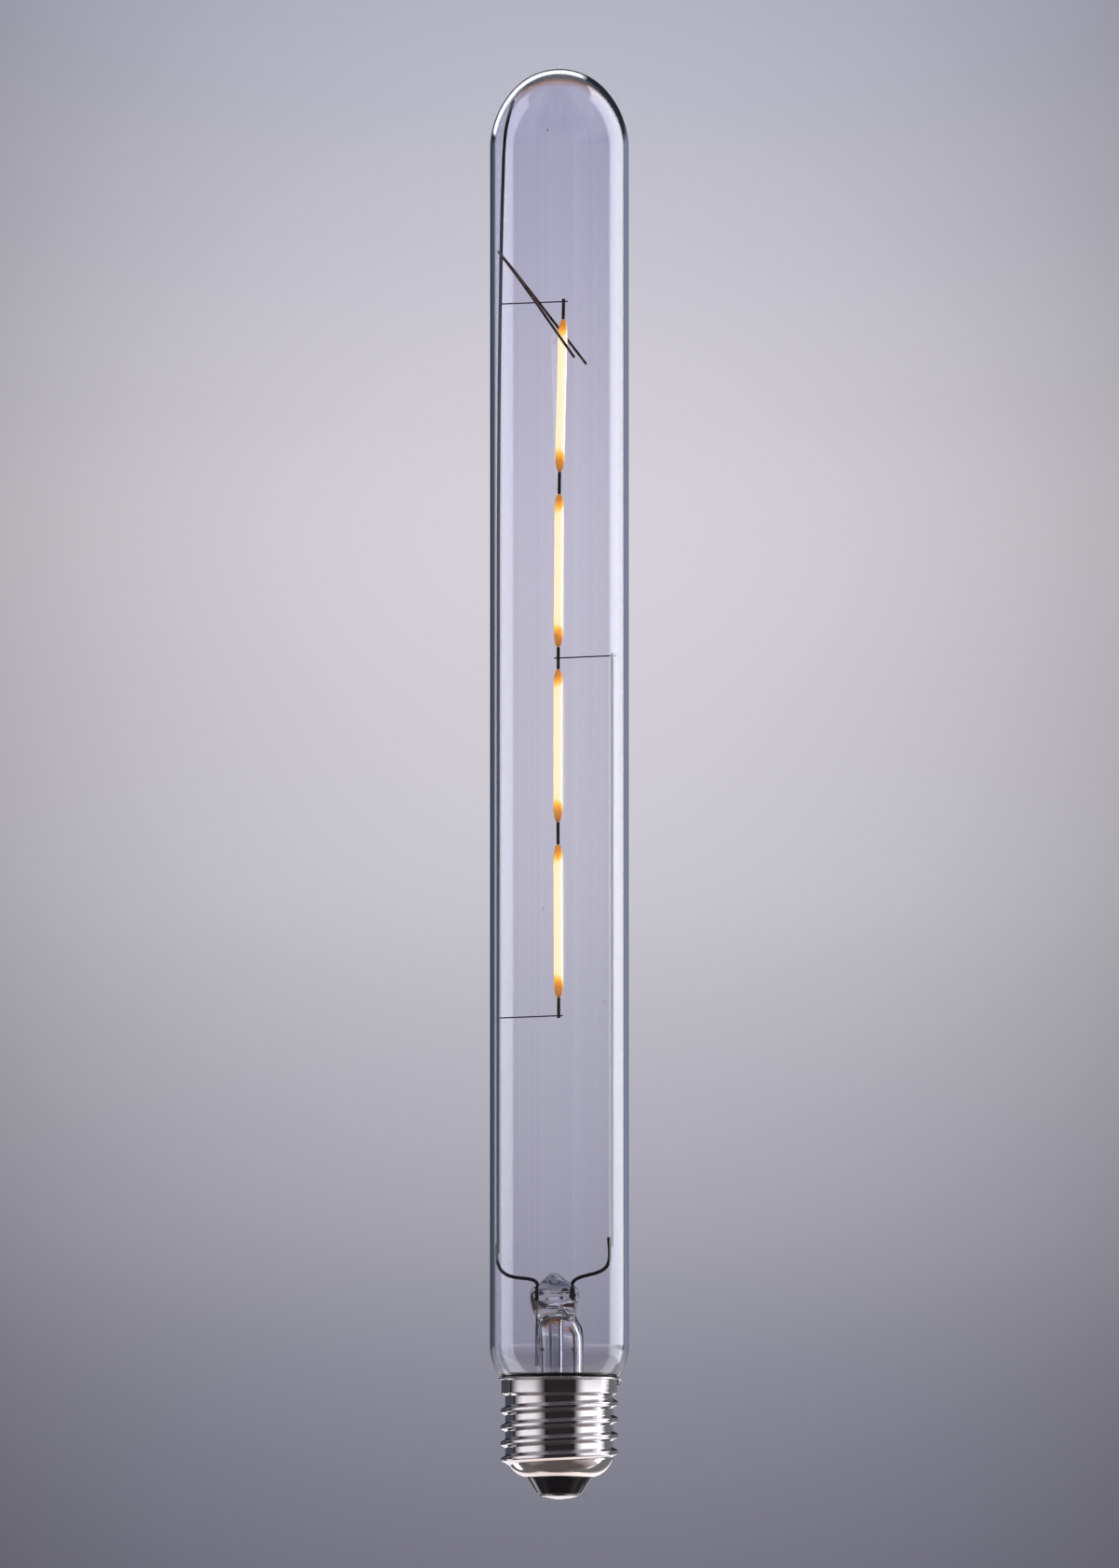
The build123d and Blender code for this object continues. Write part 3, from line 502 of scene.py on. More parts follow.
joint_x = (0.95, 0.0, -0.25, -0.3, -0.15)
joint_z = (268.15, 226.875, 187.725, 148.575, 107.3)
first_middle, string_pitch = 246.45, 39.15
gel_half, gel_thick, gel_end, gel_taper, string_y = 17.1, 1.06, 0.42, 2.6, 0.125
gel_turn = turn[::3]
for number in range(4):
    foot = np.array((joint_x[number + 1], string_y, joint_z[number + 1]))
    head = np.array((joint_x[number], string_y, joint_z[number]))
    upward = (head - foot) / np.linalg.norm(head - foot)
    middle = foot + upward * (first_middle - string_pitch * number - foot[2]) / upward[2]
    aside = np.cross((0, 1, 0), upward)
    ends = np.array([0, 0.02, 0.08, 0.2, 0.4, 0.7])
    s = np.concatenate([ends - gel_half, np.linspace(1 - gel_half, gel_half - 1, 120), gel_half - ends[::-1]])
    inward = gel_half - np.abs(s)
    belly = np.sin(np.clip(inward / gel_taper, 0, 1) * np.pi / 2) ** 0.8
    girth = gel_end + (gel_thick - gel_end) * belly * (1 - 0.14 * eased(1 - inward / 5))
    girth *= np.sqrt(np.clip(1 - (1 - np.clip(inward / 0.4, 0, 1)) ** 2, 0, 1))
    girth -= 0.02 * (1 + np.sin(0.9 * s + 2.1 * number)) * belly
    across = np.cos(gel_turn)[:, None] * aside
    through = 0.95 * np.sin(gel_turn)[:, None] * np.array((0, 1, 0))
    body = middle + s[:, None, None] * upward + girth[:, None, None] * (across + through)
    body[0], body[-1] = body[0].mean(0), body[-1].mean(0)
    filament = skin(f"filament_gel_{number + 1}", [body], glow)
    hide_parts(f"filament_{number + 1}")

# Filament tabs: flat stamped steel strips that stick out of both ends of every filament. They overlap in
# the gaps and are spot-welded there, and the heat leaves them dull and brown.
tab_finish = worked_finish(
    "heat_tinted_tab", (0.02, 0.013, 0.014), (0.085, 0.058, 0.056), (2500, 2500, 700), (0.35, 0.6), 6e-6, 0.7
)
for number in range(4):
    dress(f"filament_{number + 1}_top_tab", tab_finish)
    dress(f"filament_{number + 1}_bottom_tab", tab_finish)

# Arms: three thin nickel wires, welded behind a rod at one end and behind a tab at the other, that feed
# the top, the middle and the bottom of the string.
arm_finish = worked_finish(
    "thin_arm_wire", (0.012, 0.009, 0.012), (0.05, 0.04, 0.046), (900, 4000, 4000), (0.35, 0.55), 4e-6, 0.6
)
for name in ("top_arm", "middle_arm", "bottom_arm"):
    dress(name, arm_finish)

# Filament guide: a hairpin of soft wire hooked round the left rod, one leg in front of the first filament
# and one behind it, so that the string can't swing. Its legs are nipped off with pliers and tarnish brown.
guide_finish = worked_finish(
    "tarnished_guide_wire", (0.02, 0.016, 0.018), (0.19, 0.125, 0.1), (900, 900, 500), (0.28, 0.5), 5e-6, 0.85
)
guide_run = (
    (3.4, -2.075, 254.75), (-1.55, -1.65, 261.85), (-7.3, -1.17, 270.1), (-12.1, -0.8, 276.65),
    (-13.4, -0.5, 278.3), (-13.68, 0, 278.65), (-13.4, 0.5, 278.3), (-12.05, 0.8, 276.75),
    (-6.4, 1.25, 269.7), (0.3, 1.83, 261.05), (6.1, 2.325, 253.55),
)
guide_thick, guide_across = 0.6, (0.82, 0, 0.58)
guide = skin("guide_hairpin", [wire(guide_run, guide_thick, guide_across)], guide_finish)
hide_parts("filament_guide")

# Glass tube: the outer bulb, drawn as a straight tube, with its top closed and blown to a dome and its foot
# drawn in to a shoulder and a narrow neck. One wall of clear glass with faint streaks along it and a few
# seeds, the small bubbles that the melt left.
wall, wall_middle, inside_box = 0.9, 15.02, 0.998


def arc(centre, radius, start, stop, count):
    """Part of a circle as radius and level pairs: centre plus radius times cosine and sine of degrees."""
    angle = np.radians(np.linspace(start, stop, count))
    return np.stack([centre[0] + radius * np.cos(angle), centre[1] + radius * np.sin(angle)], -1)


def tube_profile(inset):
    """The bulb's outline from neck to crown: neck, slanted turn, ledge, heel, shoulder, straight side and
    the two arcs of the dome. An inset moves every part of it inwards by the wall, and the radius is drawn
    a little in, so that the round glass stays inside the box of the solids."""
    side = np.concatenate([[34.9, 35.6], np.linspace(37.5, 298, 66), [299.6, 300.8, 301.4]])
    parts = [
        [(11 - inset, z) for z in (19.75, 21, 23, 25, 26.0 + 0.41 * inset)],
        [(11.1 - 0.85 * inset, 26.5 + 0.45 * inset), (11.45 - 0.7 * inset, 26.82 + 0.7 * inset)],
        [(11.8 - 0.5 * inset, 27.18 + 0.9 * inset)],
        [(12.0 - 0.4 * inset, 27.25 + inset), (12.4, 27.25 + inset)],
        arc((12.574, 28.45), 1.2 - inset, -88, -32, 10),
        arc((2.382, 34.628), 13.118 - inset, -30.5, -0.4, 26),
        np.stack([0 * side + 15.5 - inset, side], -1),
        arc((-4.2, 301.65), 19.7 - inset, 0, 43.0, 40),
        arc((0, 305.65), 13.9 - inset, 44.2, 90, 52),
    ]
    parts[-1][-1, 0] = 0
    return np.vstack(parts) * (inside_box, 1)


bulb_turn = np.linspace(0, 2 * np.pi, 192, endpoint=False)
neck_edge = [(10.2, 19.56), (10.3, 19.5), (10.8, 19.5), (10.95, 19.56)]
bulb_wall = np.vstack([tube_profile(wall)[::-1], neck_edge, tube_profile(0)])
seeds = [
    bubble((x, -np.sqrt(wall_middle**2 - x**2), z), size)
    for x, z, size in (
        (-2.6, 304.7, (0.16, 0.13, 0.34)),
        (-3.5, 131.2, (0.12, 0.1, 0.26)),
        (9.8, 110.6, (0.1, 0.12, 0.3)),
    )
]
bulb_glass = clear_glass("bulb_glass", (0.968, 0.966, 1.0), (0.68, 0.74, 0.97), 0.6, (700, 700, 0.8), 1e-6)
bulb = skin("bulb_glasswork", [turned(bulb_wall, bulb_turn), *seeds], bulb_glass)
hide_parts("glass_tube")

# Driver: a round circuit board on the insulator inside the cap. Soldered to it are a rectifier, a capacitor,
# a driver chip, two chip resistors, a fuse resistor down to the contact and a neutral wire up to the shell.
for node, dark, light, grain, gloss, relief, metal in (
    ("driver_board", (0.012, 0.09, 0.04), (0.025, 0.15, 0.07), (1500, 1500, 1500), (0.35, 0.5), 5e-6, 0.0),
    ("rectifier", (0.01, 0.01, 0.011), (0.03, 0.03, 0.032), (4000, 4000, 4000), (0.45, 0.65), 8e-6, 0.0),
    ("driver_chip", (0.009, 0.009, 0.01), (0.025, 0.025, 0.027), (5000, 5000, 5000), (0.4, 0.6), 6e-6, 0.0),
    ("capacitor", (0.012, 0.014, 0.03), (0.03, 0.035, 0.07), (700, 700, 250), (0.25, 0.4), 6e-6, 0.0),
    ("current_resistor", (0.02, 0.02, 0.022), (0.06, 0.055, 0.05), (3500, 3500, 3500), (0.3, 0.5), 4e-6, 0.0),
    ("bleed_resistor", (0.02, 0.02, 0.022), (0.06, 0.055, 0.05), (3500, 3500, 3500), (0.3, 0.5), 4e-6, 0.0),
    ("fuse_resistor", (0.2, 0.12, 0.06), (0.34, 0.22, 0.12), (1800, 1800, 900), (0.35, 0.55), 6e-6, 0.0),
    ("neutral_wire", (0.3, 0.29, 0.28), (0.55, 0.53, 0.5), (5000, 5000, 500), (0.25, 0.5), 4e-6, 1.0),
):
    dress(node, worked_finish(f"{node}_finish", dark, light, grain, gloss, relief, metal))

# Screw shell: thin brass sheet drawn to a cup, with the round thread rolled through it, a plain skirt and a
# lip rolled outwards, then plated with bright nickel. The thread starts on the cone and fades out at the top.
pitch, crest_at_right, thread_depth = 3.629, 6.931, 1.05
ridge_half, ridge_flank = 1.1, 0.78
thread_start, thread_stop, fade_in, fade_out = 0.3, 4.32, 0.2, 0.24
root_out, root_in, skirt_out, skirt_in, skirt_step = 12.05, 11.75, 12.92, 12.62, 0.87
shell_turn = np.linspace(0, 2 * np.pi, 192, endpoint=False)


def rolled_ridge(level):
    """Height of the rolled thread over its root. It goes by the distance along the axis from the nearest
    crest of a helix: a smooth step leads from a narrow round crest down to a wide root, and the ridge fades
    in and out over part of a turn."""
    run = (level[:, None] - crest_at_right) / pitch - shell_turn / (2 * np.pi)
    nearest = np.round(run)
    away = np.abs(run - nearest) * pitch
    place = nearest + shell_turn / (2 * np.pi)
    fade = eased((place - thread_start) / fade_in) * eased((thread_stop - place) / fade_out)
    return thread_depth * eased((ridge_half - away) / ridge_flank) * fade


def sheet_bend(start, corner, stop, count):
    """Bend in the sheet: a parabola from start to stop that is drawn towards the corner."""
    t = np.linspace(0, 1, count)[:, None]
    return (1 - t) ** 2 * np.array(start) + 2 * t * (1 - t) * np.array(corner) + t**2 * np.array(stop)


thread_out = np.linspace(9.0, 22.95, 170)
thread_in = np.linspace(22.9, 9.0, 64)
step_up = np.linspace(0, 1, 10)
shell_profile = np.vstack(
    [
        [(6.85, 5.0), (7.3, 5.0), (7.75, 5.0)],
        sheet_bend((7.9, 5.0), (10.6, 5.75), (root_out, 8.9), 44),
        np.stack([0 * thread_out + root_out, thread_out], -1),
        np.stack([root_out + skirt_step * eased(step_up), 23.05 + 0.6 * step_up], -1),
        [(skirt_out, z) for z in (23.85, 24.4, 25.0, 25.6, 26.2, 26.42)],
        sheet_bend((skirt_out, 26.5), (12.93, 26.68), (13.1, 26.7), 5),
        arc((13.25, 26.92), 0.24, -75, 75, 12),
        [(13.15, 27.15), (12.8, 27.15), (12.66, 27.1)],
        [(skirt_in, z) for z in (26.95, 26.7, 25.5, 24.2)],
        np.stack([skirt_in - skirt_step * eased(step_up), 23.75 - 0.6 * step_up], -1),
        np.stack([0 * thread_in + root_in, thread_in], -1),
        sheet_bend((root_in, 8.85), (root_in, 8.6), (11.5, 8.35), 4),
        [(9.3, 6.05)],
        sheet_bend((9.05, 5.8), (8.6, 5.3), (8.0, 5.3), 6),
        [(7.3, 5.3), (6.85, 5.28), (6.8, 5.2), (6.8, 5.08)],
    ]
)
shell_rows = turned(shell_profile, shell_turn)
threaded = (shell_profile[:, :1] > 9.5) & (shell_profile[:, 1:] < 23.4)
grown = 1 + rolled_ridge(shell_profile[:, 1]) * threaded / shell_profile[:, :1]
shell_rows[:, :, :2] *= grown[:, :, None]
nickel_dark, nickel_light = (0.585, 0.563, 0.585), (0.665, 0.642, 0.667)
nickel = worked_finish(
    "bright_nickel_plate", nickel_dark, nickel_light, (350, 350, 5000), (0.06, 0.11), 1e-6, 1.0
)
shell = skin("screw_shell_sheet", [shell_rows], nickel, ringed=True)
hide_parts("screw_shell")

# Insulator: black glass poured hot round the edge of the shell's opening and pressed to a cone. It holds
# the contact clear of the shell, and its skin is glossy with the soft waves of poured glass.
insulator_profile = np.vstack(
    [
        [(1.5, 1.1), (3.0, 1.1), (4.2, 1.1)],
        sheet_bend((4.5, 1.1), (4.9, 1.1), (5.12, 1.44), 7),
        [(5.3, 1.72), (6.0, 2.8), (6.7, 3.87), (7.2, 4.63)],
        sheet_bend((7.32, 4.82), (7.43, 4.98), (7.2, 4.99), 5),
        [(6.84, 4.99), (6.78, 5.05), (6.78, 5.28), (6.9, 5.33)],
        [(8.2, 5.33), (8.7, 5.6), (10.6, 7.7), (10.5, 7.98)],
        [(6.0, 8.0), (1.6, 8.0), (1.5, 7.9), (1.5, 1.2)],
    ]
)
insulator_rows = turned(insulator_profile)
cone_skin = (insulator_profile[:, 1:] < 4.9) & (insulator_profile[:, :1] > 4.6)
poured = 1 - 0.004 * (1 + np.sin(3 * turn + 0.8)) * cone_skin
insulator_rows[:, :, :2] *= poured[:, :, None]
black_glass = worked_finish(
    "poured_black_glass", (0.003, 0.003, 0.005), (0.009, 0.009, 0.013), (350, 350, 350), (0.03, 0.09), 6e-6
)
insulator = skin("insulator_cone", [insulator_rows], black_glass, ringed=True)
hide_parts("insulator")

# Centre contact: a tinned brass disc set on the end of the insulator, covered by a low uneven cap of solder
# that holds the fuse resistor's leg. The solder froze with ripples and a dull grey bloom.
plate_finish = worked_finish(
    "tinned_brass", (0.36, 0.34, 0.31), (0.6, 0.58, 0.55), (1200, 1200, 1200), (0.2, 0.4), 4e-6, 1.0
)
dress("contact_plate", plate_finish)
solder_wide, solder_high = 4.35, 0.8
solder_out = np.linspace(0, 1, 32)[:, None]
ripple = 1 + 0.05 * np.sin(3 * turn + 1.0) + 0.03 * np.sin(7 * turn)
solder_r = solder_wide * solder_out * (1 - 0.05 * solder_out * (1.06 - ripple) / 0.14)
solder_wave = 1 + np.sin(3 * turn + 2.5) * np.sin(6 * solder_out + 1)
solder_z = solder_high * solder_out**2.2 + 0.12 * np.sin(np.pi * solder_out) ** 2 * solder_wave
solder_z = np.clip(solder_z, 0, solder_high)
solder_under = np.stack([solder_r * np.cos(turn), solder_r * np.sin(turn), solder_z], -1)
solder_over = solder_under[::-1].copy()
solder_over[:, :, 2] = solder_high
solder_metal = worked_finish(
    "frozen_solder", (0.45, 0.45, 0.46), (0.72, 0.72, 0.73), (1400, 1400, 1400), (0.15, 0.35), 3e-5, 1.0
)
contact = skin("contact_solder_cap", [np.concatenate([solder_under, solder_over[1:]])], solder_metal)
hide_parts("contact_solder")

# Basing cement: the ring of resin and marble flour between neck and skirt that holds the cap on. It goes in
# as a paste and is baked hard.
cement_finish = worked_finish(
    "baked_cement", (0.3, 0.26, 0.2), (0.5, 0.45, 0.37), (2500, 2500, 2500), (0.75, 0.95), 3e-5
)
dress("basing_cement", cement_finish)

# Side solder: the bead of tin solder that joins the neutral wire to the shell. It was set on hot under the
# lip and ran a little way down the skirt.
bead_x, bead_z, bead_out, bead_along, bead_high = 13.08, 26.12, 0.7, 0.72, 0.92
bead_rise = np.linspace(-np.pi / 2, np.pi / 2, 28)[:, None]
bead_fat = 1 + 0.1 * np.sin(2 * turn + 0.6) * np.cos(bead_rise) + 0.12 * np.sin(bead_rise)
bead = np.stack(
    [
        bead_x + bead_out * bead_fat * np.cos(bead_rise) * np.cos(turn),
        bead_along * bead_fat * np.cos(bead_rise) * np.sin(turn),
        bead_z + bead_high * np.sin(bead_rise) + 0 * turn,
    ],
    -1,
)
bead[0], bead[-1] = bead[0].mean(0), bead[-1].mean(0)
side_bead = skin("side_solder_bead", [bead], solder_metal)
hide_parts("side_solder")

# Floor: a round sheet of pale lilac-grey paper, dead matt, a little below the lamp, so that the lamp's
# shadow falls on it. All sizes from here on are in metres.
floor_reach, floor_level, floor_sides = 8.0, -0.05, 64
floor_mesh = bpy.data.meshes.new("floor")
floor_edge = np.linspace(0, 2 * np.pi, floor_sides, endpoint=False)
floor_x, floor_y = floor_reach * np.cos(floor_edge), floor_reach * np.sin(floor_edge)
floor_spots = np.stack([floor_x, floor_y, 0 * floor_edge + floor_level], -1)
floor_mesh.from_pydata(floor_spots.tolist(), [], [list(range(floor_sides))])
floor_finish = worked_finish(
    "pale_floor", (0.56, 0.555, 0.6), (0.58, 0.575, 0.62), (6, 6, 6), (0.7, 0.8), 1e-4
)
floor_finish.node_tree.nodes["Principled BSDF"].inputs["Specular IOR Level"].default_value = 0.0
floor_mesh.materials.append(floor_finish)
floor = bpy.data.objects.new("floor", floor_mesh)
bpy.context.scene.collection.objects.link(floor)
floor.visible_glossy = False

# Cards: white boards round the lamp that show only in gloss: tall ones for the bands along the glass, low
# ones for the bands on the cap, an arch for the dome, and a grey flag that keeps the cap's right end dull.
card_wide, card_tall = 25, 9


def upright(span, levels, away):
    """Strip of an upright cylinder round the lamp between two levels and two angles, which are counted in
    degrees from the camera's side towards the right."""
    angle, level = np.meshgrid(np.radians(np.linspace(*span, card_wide)), np.linspace(*levels, card_tall))
    return np.stack([away * np.sin(angle), -away * np.cos(angle), level], -1)


def reflection_card(name, spots, strength, colour, full, through_glass):
    """Card on a grid of points: its light rises to full, stays and dies away at three shares of its width.
    Rays that have met no gloss yet pass through it, and a card for the cap isn't seen through glass."""
    mesh = bpy.data.meshes.new(name)
    corner = (np.arange(card_tall - 1)[:, None] * card_wide + np.arange(card_wide - 1)).ravel()
    quads = np.stack([corner, corner + 1, corner + card_wide + 1, corner + card_wide], -1)
    mesh.from_pydata(spots.reshape(-1, 3).tolist(), [], quads.tolist())
    chart = np.meshgrid(np.linspace(0, 1, card_wide), np.linspace(0, 1, card_tall))
    chart = np.stack(chart, -1).reshape(-1, 2)
    index = np.empty(len(mesh.loops), int)
    mesh.loops.foreach_get("vertex_index", index)
    mesh.uv_layers.new(name="run").data.foreach_set("uv", chart[index].ravel())
    board = bpy.data.materials.new(name)
    board.use_nodes = True
    nodes, links = board.node_tree.nodes, board.node_tree.links
    nodes.remove(nodes["Principled BSDF"])
    chart_node = nodes.new("ShaderNodeUVMap")
    chart_node.uv_map = "run"
    split = nodes.new("ShaderNodeSeparateXYZ")
    links.new(chart_node.outputs["UV"], split.inputs["Vector"])
    edge = nodes.new("ShaderNodeValToRGB")
    edge.color_ramp.interpolation = "EASE"
    for end, place in zip(edge.color_ramp.elements, (0.0, full[2])):
        end.position = place
        end.color = (0, 0, 0, 1)
    for place in full[:2]:
        edge.color_ramp.elements.new(place).color = (*colour, 1)
    links.new(split.outputs["X"], edge.inputs["Fac"])
    shine = nodes.new("ShaderNodeEmission")
    shine.inputs["Strength"].default_value = strength
    links.new(edge.outputs["Color"], shine.inputs["Color"])
    clear = nodes.new("ShaderNodeBsdfTransparent")
    path = nodes.new("ShaderNodeLightPath")
    once = arithmetic(nodes, links)("MINIMUM", path.outputs["Glossy Depth"], 1.0)
    gate = either(nodes, links, once, clear.outputs["BSDF"], shine.outputs["Emission"])
    links.new(gate, nodes["Material Output"].inputs["Surface"])
    board.cycles.emission_sampling = "NONE"
    mesh.materials.append(board)
    card = bpy.data.objects.new(name, mesh)
    bpy.context.scene.collection.objects.link(card)
    card.visible_camera = card.visible_diffuse = card.visible_shadow = False
    card.visible_transmission = through_glass


arch_back, arch_level = 0.3, 0.332
sweep = np.radians(np.linspace(-84, 30, card_wide))
sweep, reach = np.meshgrid(sweep, np.linspace(0.125, 0.3, card_tall))
arch = np.stack([reach * np.sin(sweep), 0 * reach + arch_back, arch_level + reach * np.cos(sweep)], -1)
reflection_card("dome_arch", arch, 1.7, (0.88, 0.94, 1.0), (0.04, 0.9, 1.0), True)
cool, pale_blue, warm, white = (0.92, 0.93, 1.0), (0.75, 0.85, 1.0), (1.0, 0.965, 0.985), (0.99, 0.985, 1.0)
for name, span, levels, away, strength, colour, full, through_glass in (
    ("tall_card_right", (92.5, 134.5), (0.032, 0.74), 0.35, 2.9, cool, (0.05, 0.96, 1.0), True),
    ("tall_card_foot", (92.5, 134.5), (-0.25, 0.032), 0.35, 2.6, cool, (0.05, 0.96, 1.0), True),
    ("tall_card_left", (-140, -113), (0.06, 0.62), 0.35, 0.4, pale_blue, (0.1, 0.9, 1.0), True),
    ("low_card_left", (-114, -25), (0.006, 0.0323), 0.34, 1.42, warm, (0.37, 0.64, 1.0), False),
    ("low_card_right", (28, 134), (0.006, 0.0323), 0.34, 1.9, white, (0.25, 0.61, 0.85), False),
    ("cap_flag", (84, 116), (-0.06, 0.0275), 0.02, 0.22, (1, 1, 1), (0.01, 0.99, 1.0), False),
):
    reflection_card(name, upright(span, levels, away), strength, colour, full, through_glass)

# Lamps: two large soft lamps in front, a strong one on the left and a weaker one on the right, that light
# everything matt. Glass and metal don't mirror them.
lamp_size, lamp_aim = 0.8, (0, 0, 0.15)
for name, place, power in (("key_lamp", (-0.9, -0.9, 1.1), 11.0), ("fill_lamp", (1.0, -0.8, 0.8), 5.0)):
    lamp = bpy.data.lights.new(name, "AREA")
    lamp.size, lamp.energy = lamp_size, power
    stand = bpy.data.objects.new(name, lamp)
    bpy.context.scene.collection.objects.link(stand)
    stand.location = place
    away = np.array(place) - lamp_aim
    tilt = np.arccos(away[2] / np.linalg.norm(away))
    stand.rotation_euler = (tilt, 0, np.arctan2(away[1], away[0]) + np.pi / 2)
    stand.visible_camera = stand.visible_glossy = stand.visible_transmission = False

# Backdrop: lilac-grey paper far behind the lamp, palest above its middle and darker at the sides. Rays that
# come through glass see it a little brighter low down and bluer high up, and those that it bends far see it
# dark or brown, which draws the lines along the edges of the glass.
world = bpy.data.worlds.new("backdrop")
bpy.context.scene.world = world
world.use_nodes = True
sky, sky_links = world.node_tree.nodes, world.node_tree.links
sky.clear()
gaze = sky.new("ShaderNodeTexCoord")
gaze_split = sky.new("ShaderNodeSeparateXYZ")
sky_links.new(gaze.outputs["Generated"], gaze_split.inputs["Vector"])
gaze_x, gaze_y, gaze_z = gaze_split.outputs["X"], gaze_split.outputs["Y"], gaze_split.outputs["Z"]
ray = sky.new("ShaderNodeLightPath")
camera_ray = ray.outputs["Is Camera Ray"]
sky_math = arithmetic(sky, sky_links)


def sky_range(source, low, high):
    """Share of the way of a direction's part from low to high, held between none and all."""
    span = sky.new("ShaderNodeMapRange")
    span.inputs["From Min"].default_value, span.inputs["From Max"].default_value = low, high
    sky_links.new(source, span.inputs["Value"])
    return span.outputs["Result"]


def sky_spot(direction, edge, core):
    """Round patch of sky: the dot product of the gaze and a direction, from none at edge to all at core."""
    dot = sky.new("ShaderNodeVectorMath")
    dot.operation = "DOT_PRODUCT"
    dot.inputs[1].default_value = np.array(direction) / np.linalg.norm(direction)
    sky_links.new(gaze.outputs["Generated"], dot.inputs[0])
    return sky_range(dot.outputs["Value"], edge, core)


def sky_tint(share, near, far):
    """Colour between near and far by a share of the sky."""
    mix = sky.new("ShaderNodeMix")
    mix.data_type = "RGBA"
    sky_links.new(share, mix.inputs["Factor"])
    for socket, colour in ((mix.inputs[6], near), (mix.inputs[7], far)):
        if isinstance(colour, tuple):
            socket.default_value = (*colour, 1)
        else:
            sky_links.new(colour, socket)
    return mix.outputs[2]


rise = sky.new("ShaderNodeValToRGB")
rise.color_ramp.interpolation = "CARDINAL"
rise.color_ramp.elements[0].color = (0.172, 0.168, 0.218, 1)
rise.color_ramp.elements[1].color = (0.445, 0.447, 0.545, 1)
for place, colour in (
    (0.2, (0.33, 0.325, 0.388)),
    (0.4, (0.54, 0.532, 0.585)),
    (0.57, (0.64, 0.618, 0.67)),
    (0.72, (0.632, 0.612, 0.667)),
):
    rise.color_ramp.elements.new(place).color = (*colour, 1)
paper_middle, paper_half_high, paper_half_wide, paper_dim = 0.0436, 0.041, 0.0277, 0.3
paper_span = (paper_middle - paper_half_high, paper_middle + paper_half_high)
sky_links.new(sky_range(gaze_z, *paper_span), rise.inputs["Fac"])
off_middle = sky_math("MULTIPLY", gaze_x, 1 / paper_half_wide)
off_middle = sky_math("MINIMUM", sky_math("MULTIPLY", off_middle, off_middle), 1.0)
paper_sides = sky_math("MULTIPLY", off_middle, paper_dim, camera_ray)
past_glass = sky_math("SUBTRACT", 1.0, camera_ray)
bent_far = sky_math("MULTIPLY", sky_range(sky_math("ABSOLUTE", gaze_x, 0.0), 0.33, 0.6), 0.8)
bent_right = sky_math("MULTIPLY", sky_range(gaze_x, 0.12, 0.2), sky_range(gaze_y, 0.85, 0.93), 0.7)
bent_up = sky_range(gaze_z, 0.18, 0.25)
high_up = sky_range(gaze_z, 0.015, 0.075)
haze = sky_math("MULTIPLY", high_up, 0.23)
bent = sky_math("MINIMUM", sky_math("ADD", -0.15, haze, bent_far, bent_right, bent_up), 0.95)
bent = sky_math("MULTIPLY", bent, past_glass)
backdrop = sky.new("ShaderNodeBackground")
sky_links.new(sky_math("SUBTRACT", 1.0, paper_sides, bent), backdrop.inputs["Strength"])
blue_top = sky_tint(sky_math("MULTIPLY", high_up, past_glass), (1, 1, 1), (0.985, 0.985, 1.08))
brown_rim = sky_math("MULTIPLY", sky_range(gaze_z, 0.14, 0.2), past_glass)
paper = sky.new("ShaderNodeMix")
paper.data_type, paper.blend_type = "RGBA", "MULTIPLY"
paper.inputs["Factor"].default_value = 1.0
sky_links.new(rise.outputs["Color"], paper.inputs[6])
sky_links.new(sky_tint(brown_rim, blue_top, (1.0, 0.55, 0.35)), paper.inputs[7])
sky_links.new(paper.outputs[2], backdrop.inputs["Color"])

# Dark room: what bright metal and glass mirror. It is almost black, with soft patches of light for the dome,
# the cone and the flanks of the thread, and an even pale light is left for everything matt.
dark_room = sky.new("ShaderNodeBackground")
grey_side = sky_math("MULTIPLY", sky_range(gaze_x, 0.0, 0.25), sky_range(gaze_y, 0.0, 0.35), 0.27)
grey_side = sky_math("MULTIPLY", grey_side, sky_range(gaze_z, 0.16, 0.1))
overhead = sky_math("MULTIPLY", sky_range(gaze_z, 0.55, 0.9), 0.3)
below = sky_math("MULTIPLY", sky_range(gaze_z, -0.25, -0.8), 0.12)
table_glow = sky_math("MULTIPLY", sky_range(gaze_y, 0.22, 0.4), sky_range(gaze_z, -0.06, -0.2), 1.2)
table_glow = sky_math("MULTIPLY", table_glow, sky_range(gaze_x, -0.38, -0.28), sky_range(gaze_x, 0.38, 0.28))
left_glint = sky_math("MULTIPLY", sky_spot((-0.62, 0.61, -0.5), 0.982, 0.994), 2.4)
right_glint = sky_math("MULTIPLY", sky_spot((0.556, 0.382, -0.74), 0.98, 0.992), 1.6)
downhill = sky_math("MULTIPLY", sky_range(gaze_z, -0.05, -0.12), sky_range(gaze_z, -0.85, -0.65), 0.55)
steep = sky_math("ADD", sky_math("MULTIPLY", sky_range(gaze_z, 0.15, 0.3), 0.7), downhill)
steep = sky_math("MULTIPLY", steep, sky_math("SUBTRACT", 1.0, ray.outputs["Is Transmission Ray"]))
left_wedge = ((-0.17, -0.98, 0), (-0.83, 0.56, 0))
right_wedge = ((0.84, 0.54, 0), (0.45, -0.89, 0))
left_light = sky_math("MULTIPLY", steep, *(sky_spot(side, -0.02, 0.2) for side in left_wedge), 0.9)
right_light = sky_math("MULTIPLY", steep, *(sky_spot(side, -0.02, 0.2) for side in right_wedge), 1.2)
room = sky_math("ADD", 0.03, grey_side, overhead, below, table_glow)
room = sky_math("ADD", room, left_glint, right_glint, left_light, right_light)
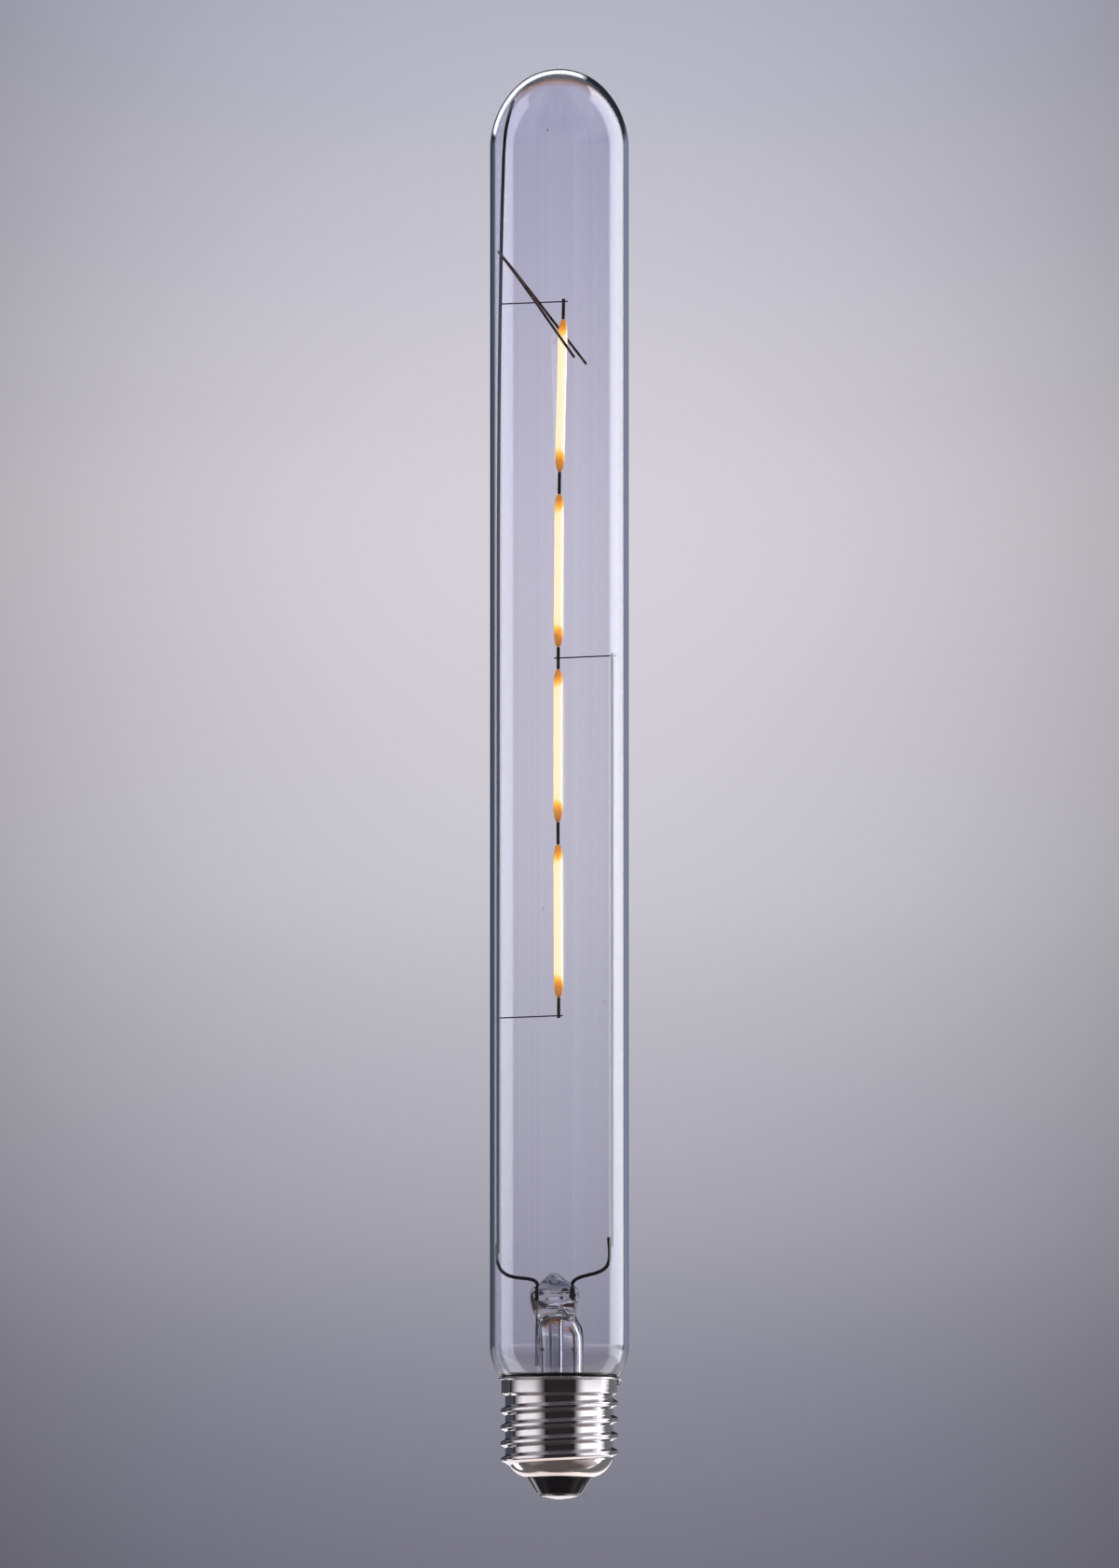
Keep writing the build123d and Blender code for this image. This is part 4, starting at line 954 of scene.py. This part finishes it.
left_ring = sky_math("MULTIPLY", sky_range(gaze_x, -0.2, -0.35), sky_range(gaze_y, 0.0, 0.3), 0.07)
room = sky_math("ADD", room, sky_math("MULTIPLY", left_ring, sky_range(gaze_z, 0.13, 0.09)))

room_tint = sky_tint(sky_range(gaze_z, -0.5, -0.8), (1.0, 0.95, 0.97), (1.0, 0.87, 0.8))
forward = sky_math("MULTIPLY", sky_range(gaze_y, 0.5, 0.7), sky_range(gaze_z, -0.08, -0.03))
room_tint = sky_tint(forward, room_tint, (0.76, 0.82, 1.12))
sky_links.new(room_tint, dark_room.inputs["Color"])
sky_links.new(room, dark_room.inputs["Strength"])

soft_fill = sky.new("ShaderNodeBackground")
soft_fill.inputs["Color"].default_value = (0.98, 0.98, 1.0, 1)
soft_fill.inputs["Strength"].default_value = 0.4

seen = sky_math("MAXIMUM", camera_ray, ray.outputs["Is Glossy Ray"], ray.outputs["Is Transmission Ray"])
mirrored = sky_math("MINIMUM", ray.outputs["Glossy Depth"], 1.0)
shown = either(sky, sky_links, mirrored, backdrop.outputs["Background"], dark_room.outputs["Background"])
shown = either(sky, sky_links, seen, soft_fill.outputs["Background"], shown)
sky_out = sky.new("ShaderNodeOutputWorld")
sky_links.new(shown, sky_out.inputs["Surface"])

# Camera: a long lens far off, a little below the middle of the lamp and looking slightly up, so that the
# frame and the slant of the view are the photo's.
camera_away, view_high, aim_level, camera_aside = 4.5, 0.35, 0.1596, 0.00003
look_up = np.radians(2.5)
lens = bpy.data.cameras.new("camera")
lens.sensor_fit = "VERTICAL"
lens.sensor_height = 24.0
lens.lens = lens.sensor_height * camera_away / view_high
camera = bpy.data.objects.new("camera", lens)
bpy.context.scene.collection.objects.link(camera)
camera_back, camera_drop = camera_away * np.cos(look_up), camera_away * np.sin(look_up)
camera.location = (camera_aside, -camera_back, aim_level - camera_drop)
camera.rotation_euler = (np.pi / 2 + look_up, 0, 0)
bpy.context.scene.camera = camera
bpy.context.scene.view_settings.view_transform = "Standard"
